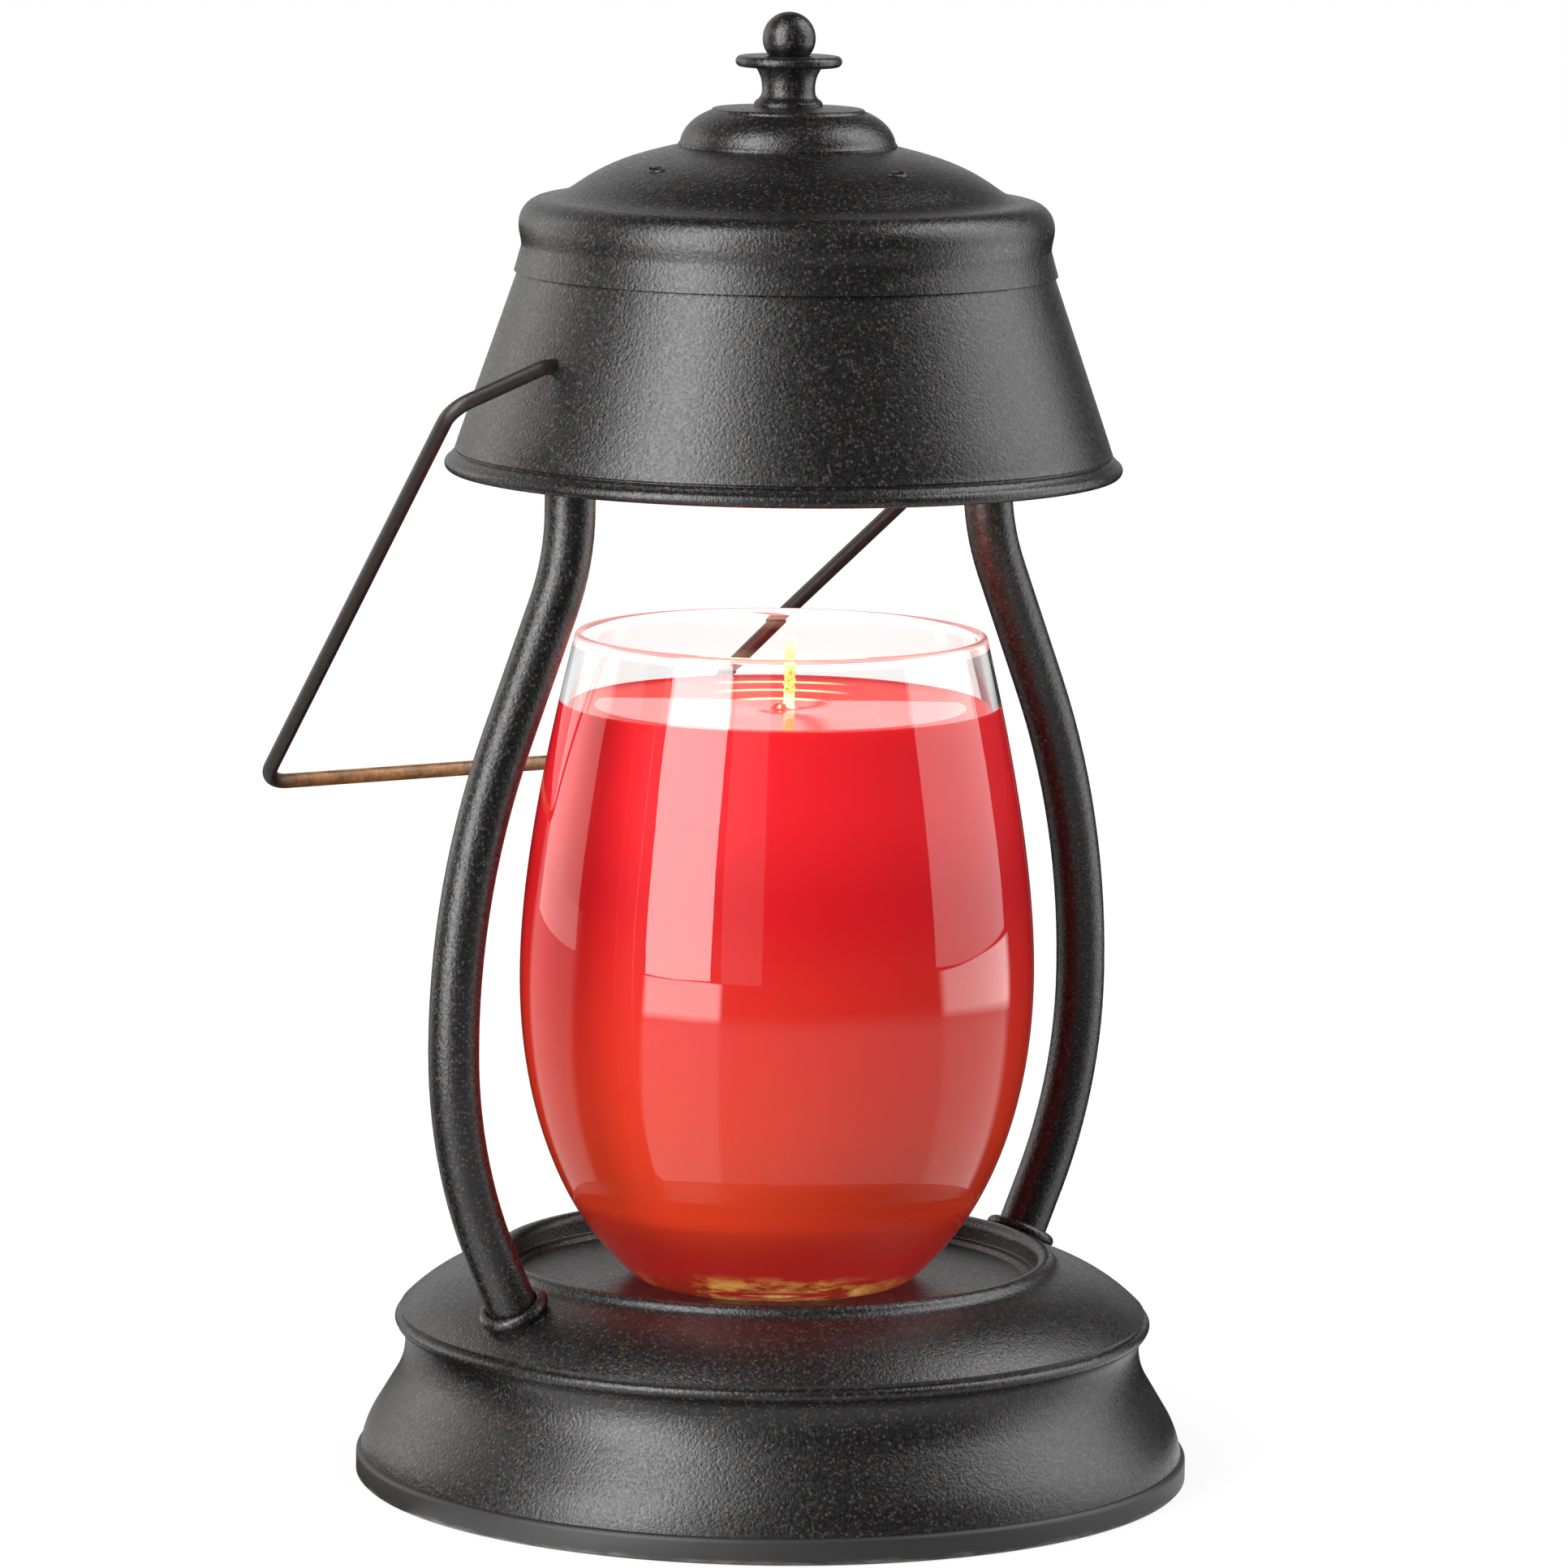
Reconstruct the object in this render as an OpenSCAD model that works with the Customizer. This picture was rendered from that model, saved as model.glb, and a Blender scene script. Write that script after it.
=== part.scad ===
// Candle warmer lamp: a table lantern whose reflector lamp melts a jar candle from above.
// Millimetres, +Z up. The origin is on the lamp's axis at the table, the two arms stand in
// the XZ plane, the candle goes in at the front (-Y) and the bail hangs towards the back.

/* [Base] */
// Outer radius of the moulded ring that stands on the table
ring_r = 87.5; // [84:0.5:95]
// Height of the ring's outer wall
ring_h = 5.5; // [4.8:0.1:8]
// Thickness of the ring's wall
ring_wall = 4.2; // [3.5:0.1:5]
// Height of the hollow under the bottom cover
cover_recess = 1.5; // [1.4:0.1:1.8]
// Thickness of the bottom cover
cover_t = 1.2; // [0.8:0.1:1.5]
// Distance that the ring's inner shelf reaches in from its wall
shelf_w = 13.3; // [12:0.1:16]
// Thickness of the base's and the pan's sheet metal
base_sheet = 0.8; // [0.6:0.1:1.1]
// Step from the ring's face in to the skirt's foot
skirt_reveal = 1.0; // [0.6:0.1:1.4]
// Distance that the skirt narrows from its foot to its neck
skirt_taper = 9.2; // [8:0.1:12]
// Steepest lean of the skirt, in degrees
skirt_lean = 31; // [28:1:36]
// Radius of the skirt's lower bend
skirt_foot_bend = 20; // [16:0.5:22]
// Radius of the skirt's upper bend
skirt_neck_bend = 15; // [12:0.5:17]
// Distance that the skirt flares out again from its neck to the pan's rim
rim_flare = 1.7; // [1.4:0.1:2.4]
// Radius of that flare
rim_bend = 4.9; // [4:0.1:6]
// Thickness of the ballast weight
ballast_t = 9; // [6:0.5:14]

/* [Pan] */
// Radius of the rolled hem at the pan's rim
hem_r = 1.2; // [1:0.05:1.5]
// Radius of the curve of the pan's domed shoulder
dome_bend = 36; // [32:0.5:42]
// Slope of the shoulder at its rim, in degrees
dome_slope = 45.5; // [42:0.5:50]
// Distance from the base's edge in to the crest of the ridge round the dish
ridge_in = 29.9; // [29:0.1:31]
// Radius of the ridge's rounded crest
ridge_bend = 2.0; // [1.6:0.1:2.4]
// Height of the ridge above the shoulder beside it
ridge_rise = 2.15; // [1.8:0.05:2.6]
// Depth of the dish below the crest
dish_depth = 5.6; // [4.5:0.1:6.5]
// Width of the ledge between the dish's flat floor and the ridge's crest
ledge_out = 4.4; // [4:0.1:6.6]
// Height of the small step round the floor
dish_step = 1.0; // [0.6:0.1:1.4]

/* [Arms] */
// Outer diameter of an arm's tube
arm_od = 10.4; // [9.5:0.1:11.5]
// Wall of the tube
arm_wall = 1.0; // [0.8:0.1:1.5]
// Distance from the base's edge in to the point where an arm stands on the pan
foot_in = 18.6; // [17.5:0.1:19.5]
// Distance from the base's edge in to the widest point of the arm's bow
belly_in = 2; // [-0.5:0.5:3.5]
// Bend radius of the bow below its widest point, where there is room for it
bow_low_bend = 100; // [80:1:110]
// Bend radius of the bow above its widest point, where there is room for it
bow_high_bend = 153; // [130:1:165]
// Bend radius where the arm turns upright under the shade
neck_bend = 48; // [38:1:55]
// Height of that upright part, from the arm's top down to the lines' corner
neck_drop = 30.9; // [28:0.1:34]
// Clearance between an arm's top and the shade's wall
arm_gap = 2.0; // [1.5:0.1:3]
// Height of an arm's top above the shade's rim
arm_reach = 16; // [14:0.5:18]
// Length of the welded plug in each end of the tube
plug_h = 10; // [8:0.5:14]
// Radius of the bolt in an arm's foot
foot_bolt_r = 2.5; // [2:0.1:2.8]
// Radius of the screw in an arm's top
top_screw_r = 2.0; // [1.5:0.1:2.4]

/* [Shade] */
// Open height from the dish's floor to the shade's rim
window_h = 170.4; // [168:0.1:182]
// Outer radius of the shade's rolled rim
shade_rim_r = 70.5; // [69:0.1:74]
// Height from the rim to the roof's edge
shade_h = 41.5; // [39:0.1:46]
// Lean of the shade's wall, in degrees
shade_lean = 19; // [17:0.5:20]
// Thickness of the shade's sheet metal
shade_sheet = 0.6; // [0.5:0.05:0.8]
// Radius of the roll at the rim
shade_roll = 1.4; // [1.1:0.05:1.6]
// Distance that the wall flares out at the rim
shade_flare = 2.8; // [2.4:0.1:3.4]
// Distance that the roof draws in above its edge
roof_pinch = 1.45; // [1.1:0.05:1.6]
// Distance that the roof's band stands out again
band_bulge = 0.6; // [0.3:0.05:0.9]
// Radius of the roof's rounded shoulder
shoulder_bend = 5.5; // [4.5:0.1:6]
// Height from the roof's edge to its flat top
roof_rise = 26.1; // [25:0.1:29]
// Length of each of the four small vents in the roof
vent_l = 4.0; // [2.5:0.1:5]
// Radius at which the vents lie
vent_r = 35; // [31:0.5:38]

/* [Cap and finial] */
// Radius of the chimney cap at its foot
cap_r = 22.4; // [20:0.1:25]
// Height of the cap
cap_h = 8.4; // [7.5:0.1:10]
// Radius of the cap's flat top
cap_top_r = 16.2; // [14:0.1:17]
// Thickness of the cap's sheet metal
cap_sheet = 0.8; // [0.6:0.1:1]
// Radius of the spool at its foot
spool_r = 7.1; // [6.5:0.1:8]
// Radius of the spool's waist
spool_waist_r = 5.5; // [4.5:0.1:6]
// Height of the spool
spool_h = 8.0; // [7:0.1:10]
// Radius of the disc
disc_r = 11.05; // [9:0.05:13]
// Thickness of the disc
disc_t = 2.3; // [1.8:0.1:3]
// Radius of the ball
ball_r = 5.5; // [5:0.1:6.5]
// Radius of the threaded stud through the cap
stud_r = 2.0; // [1.5:0.1:2.5]

/* [Lamp] */
// Radius of the reflector lamp at its face
lamp_r = 25.35; // [24:0.05:26]
// Length of the lamp from its face to the foot of its pins
lamp_len = 46; // [44:0.5:48]
// Distance from the axis to each pin
pin_pitch = 5; // [4.8:0.1:5.4]
// Radius of a pin's head
pin_head_r = 2.3; // [1.9:0.1:2.4]
// Radius of a pin's neck
pin_neck_r = 1.25; // [1:0.05:1.4]
// Angle that the lamp turns to lock, in degrees
twist = 20; // [15:1:25]
// Radius of the lamp holder
holder_r = 15; // [14.8:0.1:17]
// Height of the lamp holder
holder_h = 11.7; // [11.2:0.1:13]
// Width of the bridge that carries the holder
bridge_w = 14; // [12:0.5:16]
// Thickness of the bridge
bridge_t = 1.5; // [1.2:0.1:2]
// Length of the sleeve between the bridge and the roof
sleeve_h = 5.4; // [4.5:0.1:6.5]

/* [Bail] */
// Radius of the bail's wire
wire_r = 1.6; // [1.3:0.05:1.8]
// Height of the bail's pivot above the shade's rim
pivot_up = 25; // [23.5:0.1:27]
// Distance along the bail from the pivot line to its widest bend
bail_bend_at = 12.7; // [11:0.1:14]
// Half the bail's width at that bend
bail_half_w = 80.2; // [79:0.1:84]
// Distance from the pivot line to the crossbar
bail_reach = 147.5; // [143:0.5:155]
// Half the length of the crossbar
crossbar_half = 51.6; // [45:0.1:56]
// Angle of the bail from hanging straight down, towards the back
bail_angle = 48; // [40:1:60]
// Bend radius at the bail's widest point
bail_wide_bend = 7; // [5:0.5:9]
// Bend radius at the crossbar's ends
bail_corner_bend = 3.7; // [3:0.1:6]

/* [Candle] */
// Height of the jar
jar_h = 137; // [125:1:145]
// Greatest radius of the jar
jar_r = 53.9; // [50:0.1:55]
// Height of the jar's widest point
jar_belly_z = 64.7; // [60:0.1:70]
// Radius of the jar at its rim
jar_rim_r = 43.1; // [41:0.1:46]
// Radius of the jar's flat foot
jar_foot_r = 27; // [24:0.5:30]
// Wall of the jar
jar_wall = 2.6; // [2:0.1:3.2]
// Thickness of the glass under the wax
jar_base = 7; // [6:0.5:9]
// Height of the wax's surface above the jar's foot
wax_h = 121.4; // [100:0.5:122]
// Radius of the wick
wick_r = 1.35; // [1:0.05:1.8]
// Height of the wick above the wax
wick_up = 14.4; // [8:0.1:15]

/* [Cord inlet] */
// Radius of the bore for the cord in the grommet
inlet_r = 3.2; // [2.5:0.1:3.6]
// Thickness of the grommet's wall
grommet_wall = 1.3; // [1:0.1:1.6]

/* [Hidden] */
$fn = 96;

// Clearances: between nested sheets, round a screw, and of the bail's wire in its holes
seam_gap = 0.15;
screw_gap = 0.05;
pivot_gap = 0.1;
joint_gap = 0.1;
joint_swell = 0.02;
eps = 0.02;

// Base, worked up from the table
cover_z = cover_recess;
shelf_z = cover_recess + cover_t;
ring_in_r = ring_r - ring_wall;
shelf_in_r = ring_in_r - shelf_w;
ring_edge = 1.2;
rib_h = 3.5;
boss_r = 4;
boss_h = 8;
boss_at = (ring_in_r + shelf_in_r) / 2;
cover_screw_r = 1.5;
skirt_foot_r = ring_r - skirt_reveal;
foot_lean_0 = 8;
foot_arc_dr = skirt_foot_bend * (cos(foot_lean_0) - cos(skirt_lean));
foot_arc_dz = skirt_foot_bend * (sin(skirt_lean) - sin(foot_lean_0));
neck_arc_dr = skirt_neck_bend * (1 - cos(skirt_lean));
neck_arc_dz = skirt_neck_bend * sin(skirt_lean);
skirt_straight = (skirt_taper - foot_arc_dr - neck_arc_dr) / sin(skirt_lean);
neck_r = skirt_foot_r - skirt_taper;
neck_z = ring_h + foot_arc_dz + skirt_straight * cos(skirt_lean) + neck_arc_dz;
flare_turn = acos(1 - rim_flare / rim_bend);
rim_z = neck_z + rim_bend * sin(flare_turn);
lip_r = neck_r + rim_flare + 0.5;

// Pan: a hemmed rim, a domed shoulder, a ridge and a dish
dome_edge = [lip_r - 0.9 * hem_r, rim_z + 2.75 * hem_r];
dome_c = dome_edge - dome_bend * [sin(dome_slope), cos(dome_slope)];
ridge_r = ring_r - ridge_in;
dish_r = ridge_r - ledge_out;
function dome_z(r, bend = dome_bend) = dome_c[1] + sqrt(pow(bend, 2) - pow(r - dome_c[0], 2));
ridge_foot_r = ridge_r + ridge_bend + 0.9;
crest_z = dome_z(ridge_r + ridge_bend) + ridge_rise;
dish_z = crest_z - dish_depth;

// Shade, worked up from its rim
shade_z = dish_z + window_h;
cone_foot_z = shade_z + 6.5;
cone_foot_r = shade_rim_r - shade_flare;
function cone_r(z) = cone_foot_r - (z - cone_foot_z) * tan(shade_lean);
function cone_in_r(z) = cone_r(z) - shade_sheet / cos(shade_lean);
seam_z = shade_z + shade_h;
cone_top_z = seam_z + 4;
ledge_w = 5;
roof_edge_r = cone_r(seam_z) + seam_gap + shade_sheet;
pinch_z = seam_z + 5.2;
shoulder_z = seam_z + 9.8;
band_r = roof_edge_r - roof_pinch + band_bulge;
roof_top_z = seam_z + roof_rise;
cap_top_z = roof_top_z + cap_h;

// Bridge, lamp holder and lamp, worked down from the roof
bridge_z = roof_top_z - shade_sheet - sleeve_h;
bridge_half = 22;
ear_gap = 0.3;
ear_top_z = cone_top_z - shade_sheet;
arm_top_z = shade_z + arm_reach;
function ear_x(z) = sqrt(pow(cone_in_r(z), 2) - pow(bridge_w / 2, 2)) - ear_gap;
holder_z = bridge_z - bridge_t - holder_h;
holder_gap = 0.2;
lamp_z = holder_z - holder_gap - lamp_len;
lamp_base_h = 13;
lamp_neck = lamp_len - lamp_base_h;
lamp_neck_r = 10.8;
capsule_r = 4.6;
pin_ledge = 3.6;
pin_head_h = 2.0;
slot_gap = 0.3;
holder_screw_r = 1.5;
holder_screw_at = 11;

// Arms, in the plane through the axis: foot, two points on the bow's tangents, neck, top
arm_r = arm_od / 2;
arm_top_r = cone_in_r(arm_top_z) - arm_gap - arm_r;
foot_r = ring_r - foot_in;
belly_r = ring_r - belly_in;
foot_z = dome_z(foot_r);
foot_lean = asin((foot_r - dome_c[0]) / dome_bend);
bow_z1 = foot_z + (belly_r - foot_r) / tan(foot_lean);
low_bend = min(bow_low_bend, 0.8 * (belly_r - foot_r) / sin(foot_lean) / tan(foot_lean / 2));
low_reach = low_bend * tan(foot_lean / 2) + 1;
neck_z1 = arm_top_z - neck_drop;
// Above its widest point the arm leans in by arm_lean, which follows from the room there is
bow_in = belly_r - arm_top_r;
bow_up = neck_z1 - bow_z1 - low_reach;
high_bend = min(bow_high_bend, 0.45 * (pow(bow_up, 2) / bow_in + bow_in));
lean_k = 2 * high_bend - bow_in;
arm_lean = 2 * atan((bow_up - sqrt(pow(bow_up, 2) - lean_k * bow_in)) / lean_k);
bow_z2 = bow_z1 + low_reach + high_bend * tan(arm_lean / 2);
arm_line = [[foot_r, foot_z], [belly_r, bow_z1], [belly_r, bow_z2],
    [arm_top_r, neck_z1], [arm_top_r, arm_top_z]];
arm_bends = [low_bend, high_bend, neck_bend];
collar_r = arm_r + 2.3;
washer_r = 5.5;
washer_t = 1;
washer_drop = base_sheet + pow(washer_r, 2) / (2 * (dome_bend - base_sheet)) + eps;

// Bail, in its own plane: x across, y away from the pivot line
pivot_z = shade_z + pivot_up;
pivot_x = cone_r(pivot_z) + wire_r + 0.8;
bail_pivot_bend = 3;
bail_end_x = ear_x(pivot_z) - bridge_t - 2;

// Jar outline, from its foot
jar_low = bezier([jar_foot_r + 3, 1.2], [jar_foot_r + 0.61 * (jar_r - jar_foot_r), 0.19 * jar_belly_z],
    [jar_r, 0.53 * jar_belly_z], [jar_r, jar_belly_z], 16);
jar_rim_lean = 12.5;
jar_high = bezier([jar_r, jar_belly_z], [jar_r, jar_belly_z + 0.32 * (jar_h - jar_belly_z)],
    [jar_rim_r + 22 * sin(jar_rim_lean), jar_h - 22 * cos(jar_rim_lean)],
    [jar_rim_r, jar_h - jar_wall / 2], 16);
jar_out = concat(jar_low, rest(jar_high));
jar_wall_line = side(jar_out, -jar_wall);
jar_heel = 0.27 * jar_belly_z;
tab_r = 8;
jar_in_wall = [for (p = jar_wall_line) if (p[1] > jar_heel) p];
jar_in = concat([[0, jar_base]],
    bezier([tab_r + 1, jar_base], [0.7 * jar_foot_r, jar_base], jar_in_wall[0] - [7, 6.5], jar_in_wall[0], 8),
    rest(jar_in_wall));
wax_gap = 0.05;
pool_r = 9;
pool_depth = 0.8;

// Cord inlet in the straight part of the skirt, at the back
inlet_s = foot_arc_dz + skirt_straight / 2 * cos(skirt_lean);
inlet_at = [skirt_foot_r - foot_arc_dr - skirt_straight / 2 * sin(skirt_lean), ring_h + inlet_s];
grommet_r = inlet_r + grommet_wall;
flange_r = grommet_r + 1.8;
flange_t = 1.5;

// ---- Lines and curves ----

function unit(v) = v / norm(v);
function rest(p) = [for (i = [1 : len(p) - 1]) p[i]];
function flip(p) = [for (i = [len(p) - 1 : -1 : 0]) p[i]];
// Angle brought into -180 to 180
function wrap(a) = a - 360 * round(a / 360);
// Points along a circle about c
function arc(c, r, a0, a1, n = 10) =
    [for (i = [0 : n]) let (a = a0 + (a1 - a0) * i / n) c + r * [cos(a), sin(a)]];
// Points along a cubic curve
function bezier(p0, p1, p2, p3, n = 10) =
    [for (i = [0 : n]) let (t = i / n, u = 1 - t)
        u * u * u * p0 + 3 * u * u * t * p1 + 3 * u * t * t * p2 + t * t * t * p3];
// Direction of the line p at its point i
function heading(p, i) =
    let (a = unit(p[min(i + 1, len(p) - 1)] - p[min(i, len(p) - 2)]),
         b = unit(p[max(i, 1)] - p[max(i - 1, 0)]))
    [a, b];
// The line p moved t to its right, with mitred corners
function side(p, t) =
    [for (i = [0 : len(p) - 1]) let (h = heading(p, i), s = h[0] + h[1],
        k = t / (1 + h[0] * h[1])) p[i] + k * [s[1], -s[0]]];
// A strip of sheet whose one face is the line p and whose thickness t lies to its right
function strip(p, t) = concat(p, flip(side(p, t)));
// Centre, start angle and turn of a bend of radius r at b between a and c
function bend_at(a, b, c, r) =
    let (u = unit(a - b), v = unit(c - b), half = acos(u * v) / 2, ctr = b + unit(u + v) * r / sin(half),
         s = b + u * r / tan(half) - ctr, e = b + v * r / tan(half) - ctr,
         a0 = atan2(s[1], s[0]), a1 = atan2(e[1], e[0]))
    [ctr, a0, wrap(a1 - a0), r / tan(half)];
// The line p with every corner rounded to radius r
function rounded(p, r, n = 5) =
    concat([p[0]],
        [for (i = [1 : len(p) - 2]) let (b = bend_at(p[i - 1], p[i], p[i + 1], r))
            each arc(b[0], r, b[1], b[1] + b[2], n)],
        [p[len(p) - 1]]);

// ---- Shared solids ----

module spin(p) rotate_extrude() polygon(p);

// A straight tube in the XY plane; ri = 0 makes it solid
module rod(a, b, ro, ri) {
    d = b - a;
    translate([a[0], a[1], 0]) rotate([0, 90, atan2(d[1], d[0])])
        difference() {
            cylinder(h = norm(d), r = ro);
            if (ri > 0) translate([0, 0, -eps]) cylinder(h = norm(d) + 2 * eps, r = ri);
        }
}

// A bent tube in the XY plane
module elbow(b, r, ro, ri)
    translate([b[0][0], b[0][1], 0]) rotate([0, 0, min(b[1], b[1] + b[2])])
        rotate_extrude(angle = abs(b[2])) translate([r, 0]) difference() {
            circle(r = ro);
            if (ri > 0) circle(r = ri);
        }

// A tube along the line p with bend radii r, in the XY plane. Its straights stop just short
// of its bends, and a short sleeve a hair thicker than the tube joins the two.
module bent_tube(p, r, ro, ri = 0) {
    last = len(p) - 1;
    bends = [for (i = [1 : last - 1]) bend_at(p[i - 1], p[i], p[i + 1], r[i - 1])];
    for (i = [0 : last - 1]) {
        d = unit(p[i + 1] - p[i]);
        a = i == 0 ? p[0] : p[i] + d * bends[i - 1][3];
        b = i == last - 1 ? p[last] : p[i + 1] - d * bends[i][3];
        rod(i == 0 ? a : a + d * joint_gap, i == last - 1 ? b : b - d * joint_gap, ro, ri);
        if (i > 0) joint(a, d, ro, ri);
        if (i < last - 1) joint(b, d, ro, ri);
        if (i < last - 1) elbow(bends[i], r[i], ro, ri);
    }
}

module joint(at, d, ro, ri)
    rod(at - 2 * joint_gap * d, at + 2 * joint_gap * d, ro + joint_swell, ri > 0 ? ri - joint_swell : 0);

// Puts a child on the pan's shoulder where an arm stands, with its axis along the arm
module at_foot(s) translate([s * foot_r, 0, foot_z]) rotate([0, s * foot_lean, 0]) children();

// The pan's outside as a solid, to cut what stands on it
module shoulder_solid()
    spin(concat([[ridge_foot_r, rim_z]], [for (p = dome_line) if (p[0] >= ridge_foot_r) p],
        [[dome_edge[0], rim_z]]));

// A screw pointing up from z = 0, its head below
module screw(r, head_r, head_h, l) {
    translate([0, 0, -head_h]) cylinder(h = head_h, r = head_r);
    cylinder(h = l, r = r);
}

// ---- Base ----

module base_ring() color("dimgray") difference() {
    union() {
        spin(concat([[ring_in_r, 0], [ring_r - 0.5, 0], [ring_r, 0.5]],
            arc([ring_r - ring_edge, ring_h - ring_edge], ring_edge, 0, 90, 5),
            [[ring_in_r + 0.9, ring_h], [ring_in_r + 0.7, ring_h + rib_h], [ring_in_r - 0.8, ring_h + rib_h],
             [ring_in_r - 0.8, ring_h], [shelf_in_r, ring_h], [shelf_in_r, shelf_z], [ring_in_r, shelf_z]]));
        for (a = [45 : 90 : 315]) rotate(a) translate([boss_at, 0, shelf_z]) cylinder(h = boss_h, r = boss_r);
    }
    for (a = [45 : 90 : 315]) rotate(a) translate([boss_at, 0, shelf_z - 1])
        cylinder(h = boss_h, r = cover_screw_r + screw_gap);
}

module bottom_cover() color("gray") difference() {
    translate([0, 0, cover_z]) cylinder(h = cover_t, r = ring_in_r - 0.4);
    for (a = [45 : 90 : 315]) rotate(a) translate([boss_at, 0, cover_z - 1])
        cylinder(h = cover_t + 2, r = cover_screw_r + 0.2);
}

module felt_pad() color("black") cylinder(h = cover_recess, r = boss_at - boss_r - 4);

module cover_screw(i) color("silver") rotate(45 + 90 * i) translate([boss_at, 0, cover_z])
    screw(cover_screw_r, 2.8, 1.2, cover_t + boss_h - 2);

module ballast_weight() color("darkslategray") spin([[8, shelf_z], [shelf_in_r - 0.5, shelf_z],
    [shelf_in_r - 0.5, shelf_z + ballast_t - 2], [shelf_in_r - 2.5, shelf_z + ballast_t],
    [8, shelf_z + ballast_t]]);

skirt_line = concat(
    arc([skirt_foot_r - skirt_foot_bend * cos(foot_lean_0), ring_h - skirt_foot_bend * sin(foot_lean_0)],
        skirt_foot_bend, foot_lean_0, skirt_lean, 8),
    arc([neck_r + skirt_neck_bend, neck_z], skirt_neck_bend, 180 + skirt_lean, 180, 8),
    rest(arc([neck_r + rim_bend, neck_z], rim_bend, 180, 180 - flare_turn, 6)));

// The skirt's two edges are cut level, to seat on the ring and under the pan's hem
module base_skirt() color("dimgray") difference() {
    spin(concat([skirt_line[0] - [base_sheet / cos(foot_lean_0), 0]], skirt_line,
        [[neck_r + rim_flare - base_sheet / cos(flare_turn), rim_z]],
        flip([for (p = side(skirt_line, -base_sheet)) if (p[1] > ring_h + 0.3 && p[1] < rim_z - 0.3) p])));
    at_inlet() translate([0, 0, -6]) cylinder(h = 12, r = grommet_r + 0.1);
}

module at_inlet() translate([0, inlet_at[0], inlet_at[1]]) rotate([skirt_lean - 90, 0, 0]) children();

module cord_grommet() color("black") at_inlet() difference() {
    union() {
        translate([0, 0, 0.3]) cylinder(h = flange_t, r = flange_r);
        translate([0, 0, -base_sheet - 2]) cylinder(h = base_sheet + 2.3, r = grommet_r);
        translate([0, 0, -base_sheet - 2]) cylinder(h = 1.5, r1 = grommet_r - 0.2, r2 = grommet_r + 0.8);
    }
    translate([0, 0, -base_sheet - 3]) cylinder(h = 8, r = inlet_r);
}

dome_line = arc(dome_c, dome_bend,
    90 - asin((ridge_foot_r - dome_c[0]) / dome_bend), 90 - dome_slope, 16);
pan_line = concat(
    [[0, dish_z]],
    rounded([[dish_r - 2, dish_z], [dish_r, dish_z], [dish_r + 0.6, dish_z + dish_step],
        [ridge_r - ridge_bend, dish_z + dish_step], [ridge_r - ridge_bend, crest_z - ridge_bend]], 0.3, 3),
    rest(arc([ridge_r, crest_z - ridge_bend], ridge_bend, 180, 15, 12)),
    dome_line);

module base_pan() color("dimgray") difference() {
    hem_in_r = lip_r - 2 * hem_r;
    spin(concat(pan_line,
        [[lip_r - hem_r, rim_z + 2.05 * hem_r]],
        arc([lip_r - hem_r, rim_z + hem_r], hem_r, 75, -50, 8),
        [[lip_r - 0.6, rim_z], [hem_in_r, rim_z], [hem_in_r, dome_z(hem_in_r, dome_bend - base_sheet)]],
        flip([for (p = side(pan_line, base_sheet)) if (p[0] < hem_in_r) p])));
    for (s = [-1, 1]) at_foot(s) translate([0, 0, -3]) cylinder(h = 6, r = foot_bolt_r + 0.2);
}

// ---- Arms ----

module arm(s) color("dimgray") difference() {
    union() {
        rotate([90, 0, 0]) scale([s, 1, 1]) bent_tube(arm_line, arm_bends, arm_r, arm_r - arm_wall);
        at_foot(s) cylinder(h = plug_h, r = arm_r - arm_wall + eps);
        translate([s * arm_top_r, 0, arm_top_z - plug_h]) cylinder(h = plug_h, r = arm_r - arm_wall + eps);
    }
    shoulder_solid();
    at_foot(s) translate([0, 0, -1]) cylinder(h = plug_h + 2, r = foot_bolt_r + screw_gap);
    translate([s * arm_top_r, 0, arm_top_z - plug_h - 1]) cylinder(h = plug_h + 2, r = top_screw_r + screw_gap);
}

module foot_collar(s) color("dimgray") difference() {
    at_foot(s) spin(concat([[arm_r + screw_gap, -1.2], [collar_r - 1, -1.2]],
        arc([collar_r - 1.35, 1.3], 1.35, -55, 115, 12), [[arm_r + 0.25, 2.0], [arm_r + screw_gap, 2.2]]));
    shoulder_solid();
}

module foot_washer(s) color("silver") at_foot(s) translate([0, 0, -washer_drop - washer_t])
    difference() {
        cylinder(h = washer_t, r = washer_r);
        translate([0, 0, -1]) cylinder(h = washer_t + 2, r = foot_bolt_r + 0.2);
    }

module foot_bolt(s) color("silver") at_foot(s) translate([0, 0, -washer_drop - washer_t])
    screw(foot_bolt_r, foot_bolt_r + 1.9, 3, washer_drop + washer_t + plug_h - 1);

// ---- Bridge and lamp holder ----

bridge_half_line = [[bridge_half, bridge_z], [ear_x(ear_top_z) - 7.5, ear_top_z],
    [ear_x(ear_top_z), ear_top_z], [ear_x(arm_top_z), arm_top_z],
    [arm_top_r - arm_r - 3.5, arm_top_z]];
bridge_line = rounded(concat(flip([for (p = bridge_half_line) [-p[0], p[1]]]), bridge_half_line),
    bridge_t + 0.5, 4);

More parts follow.
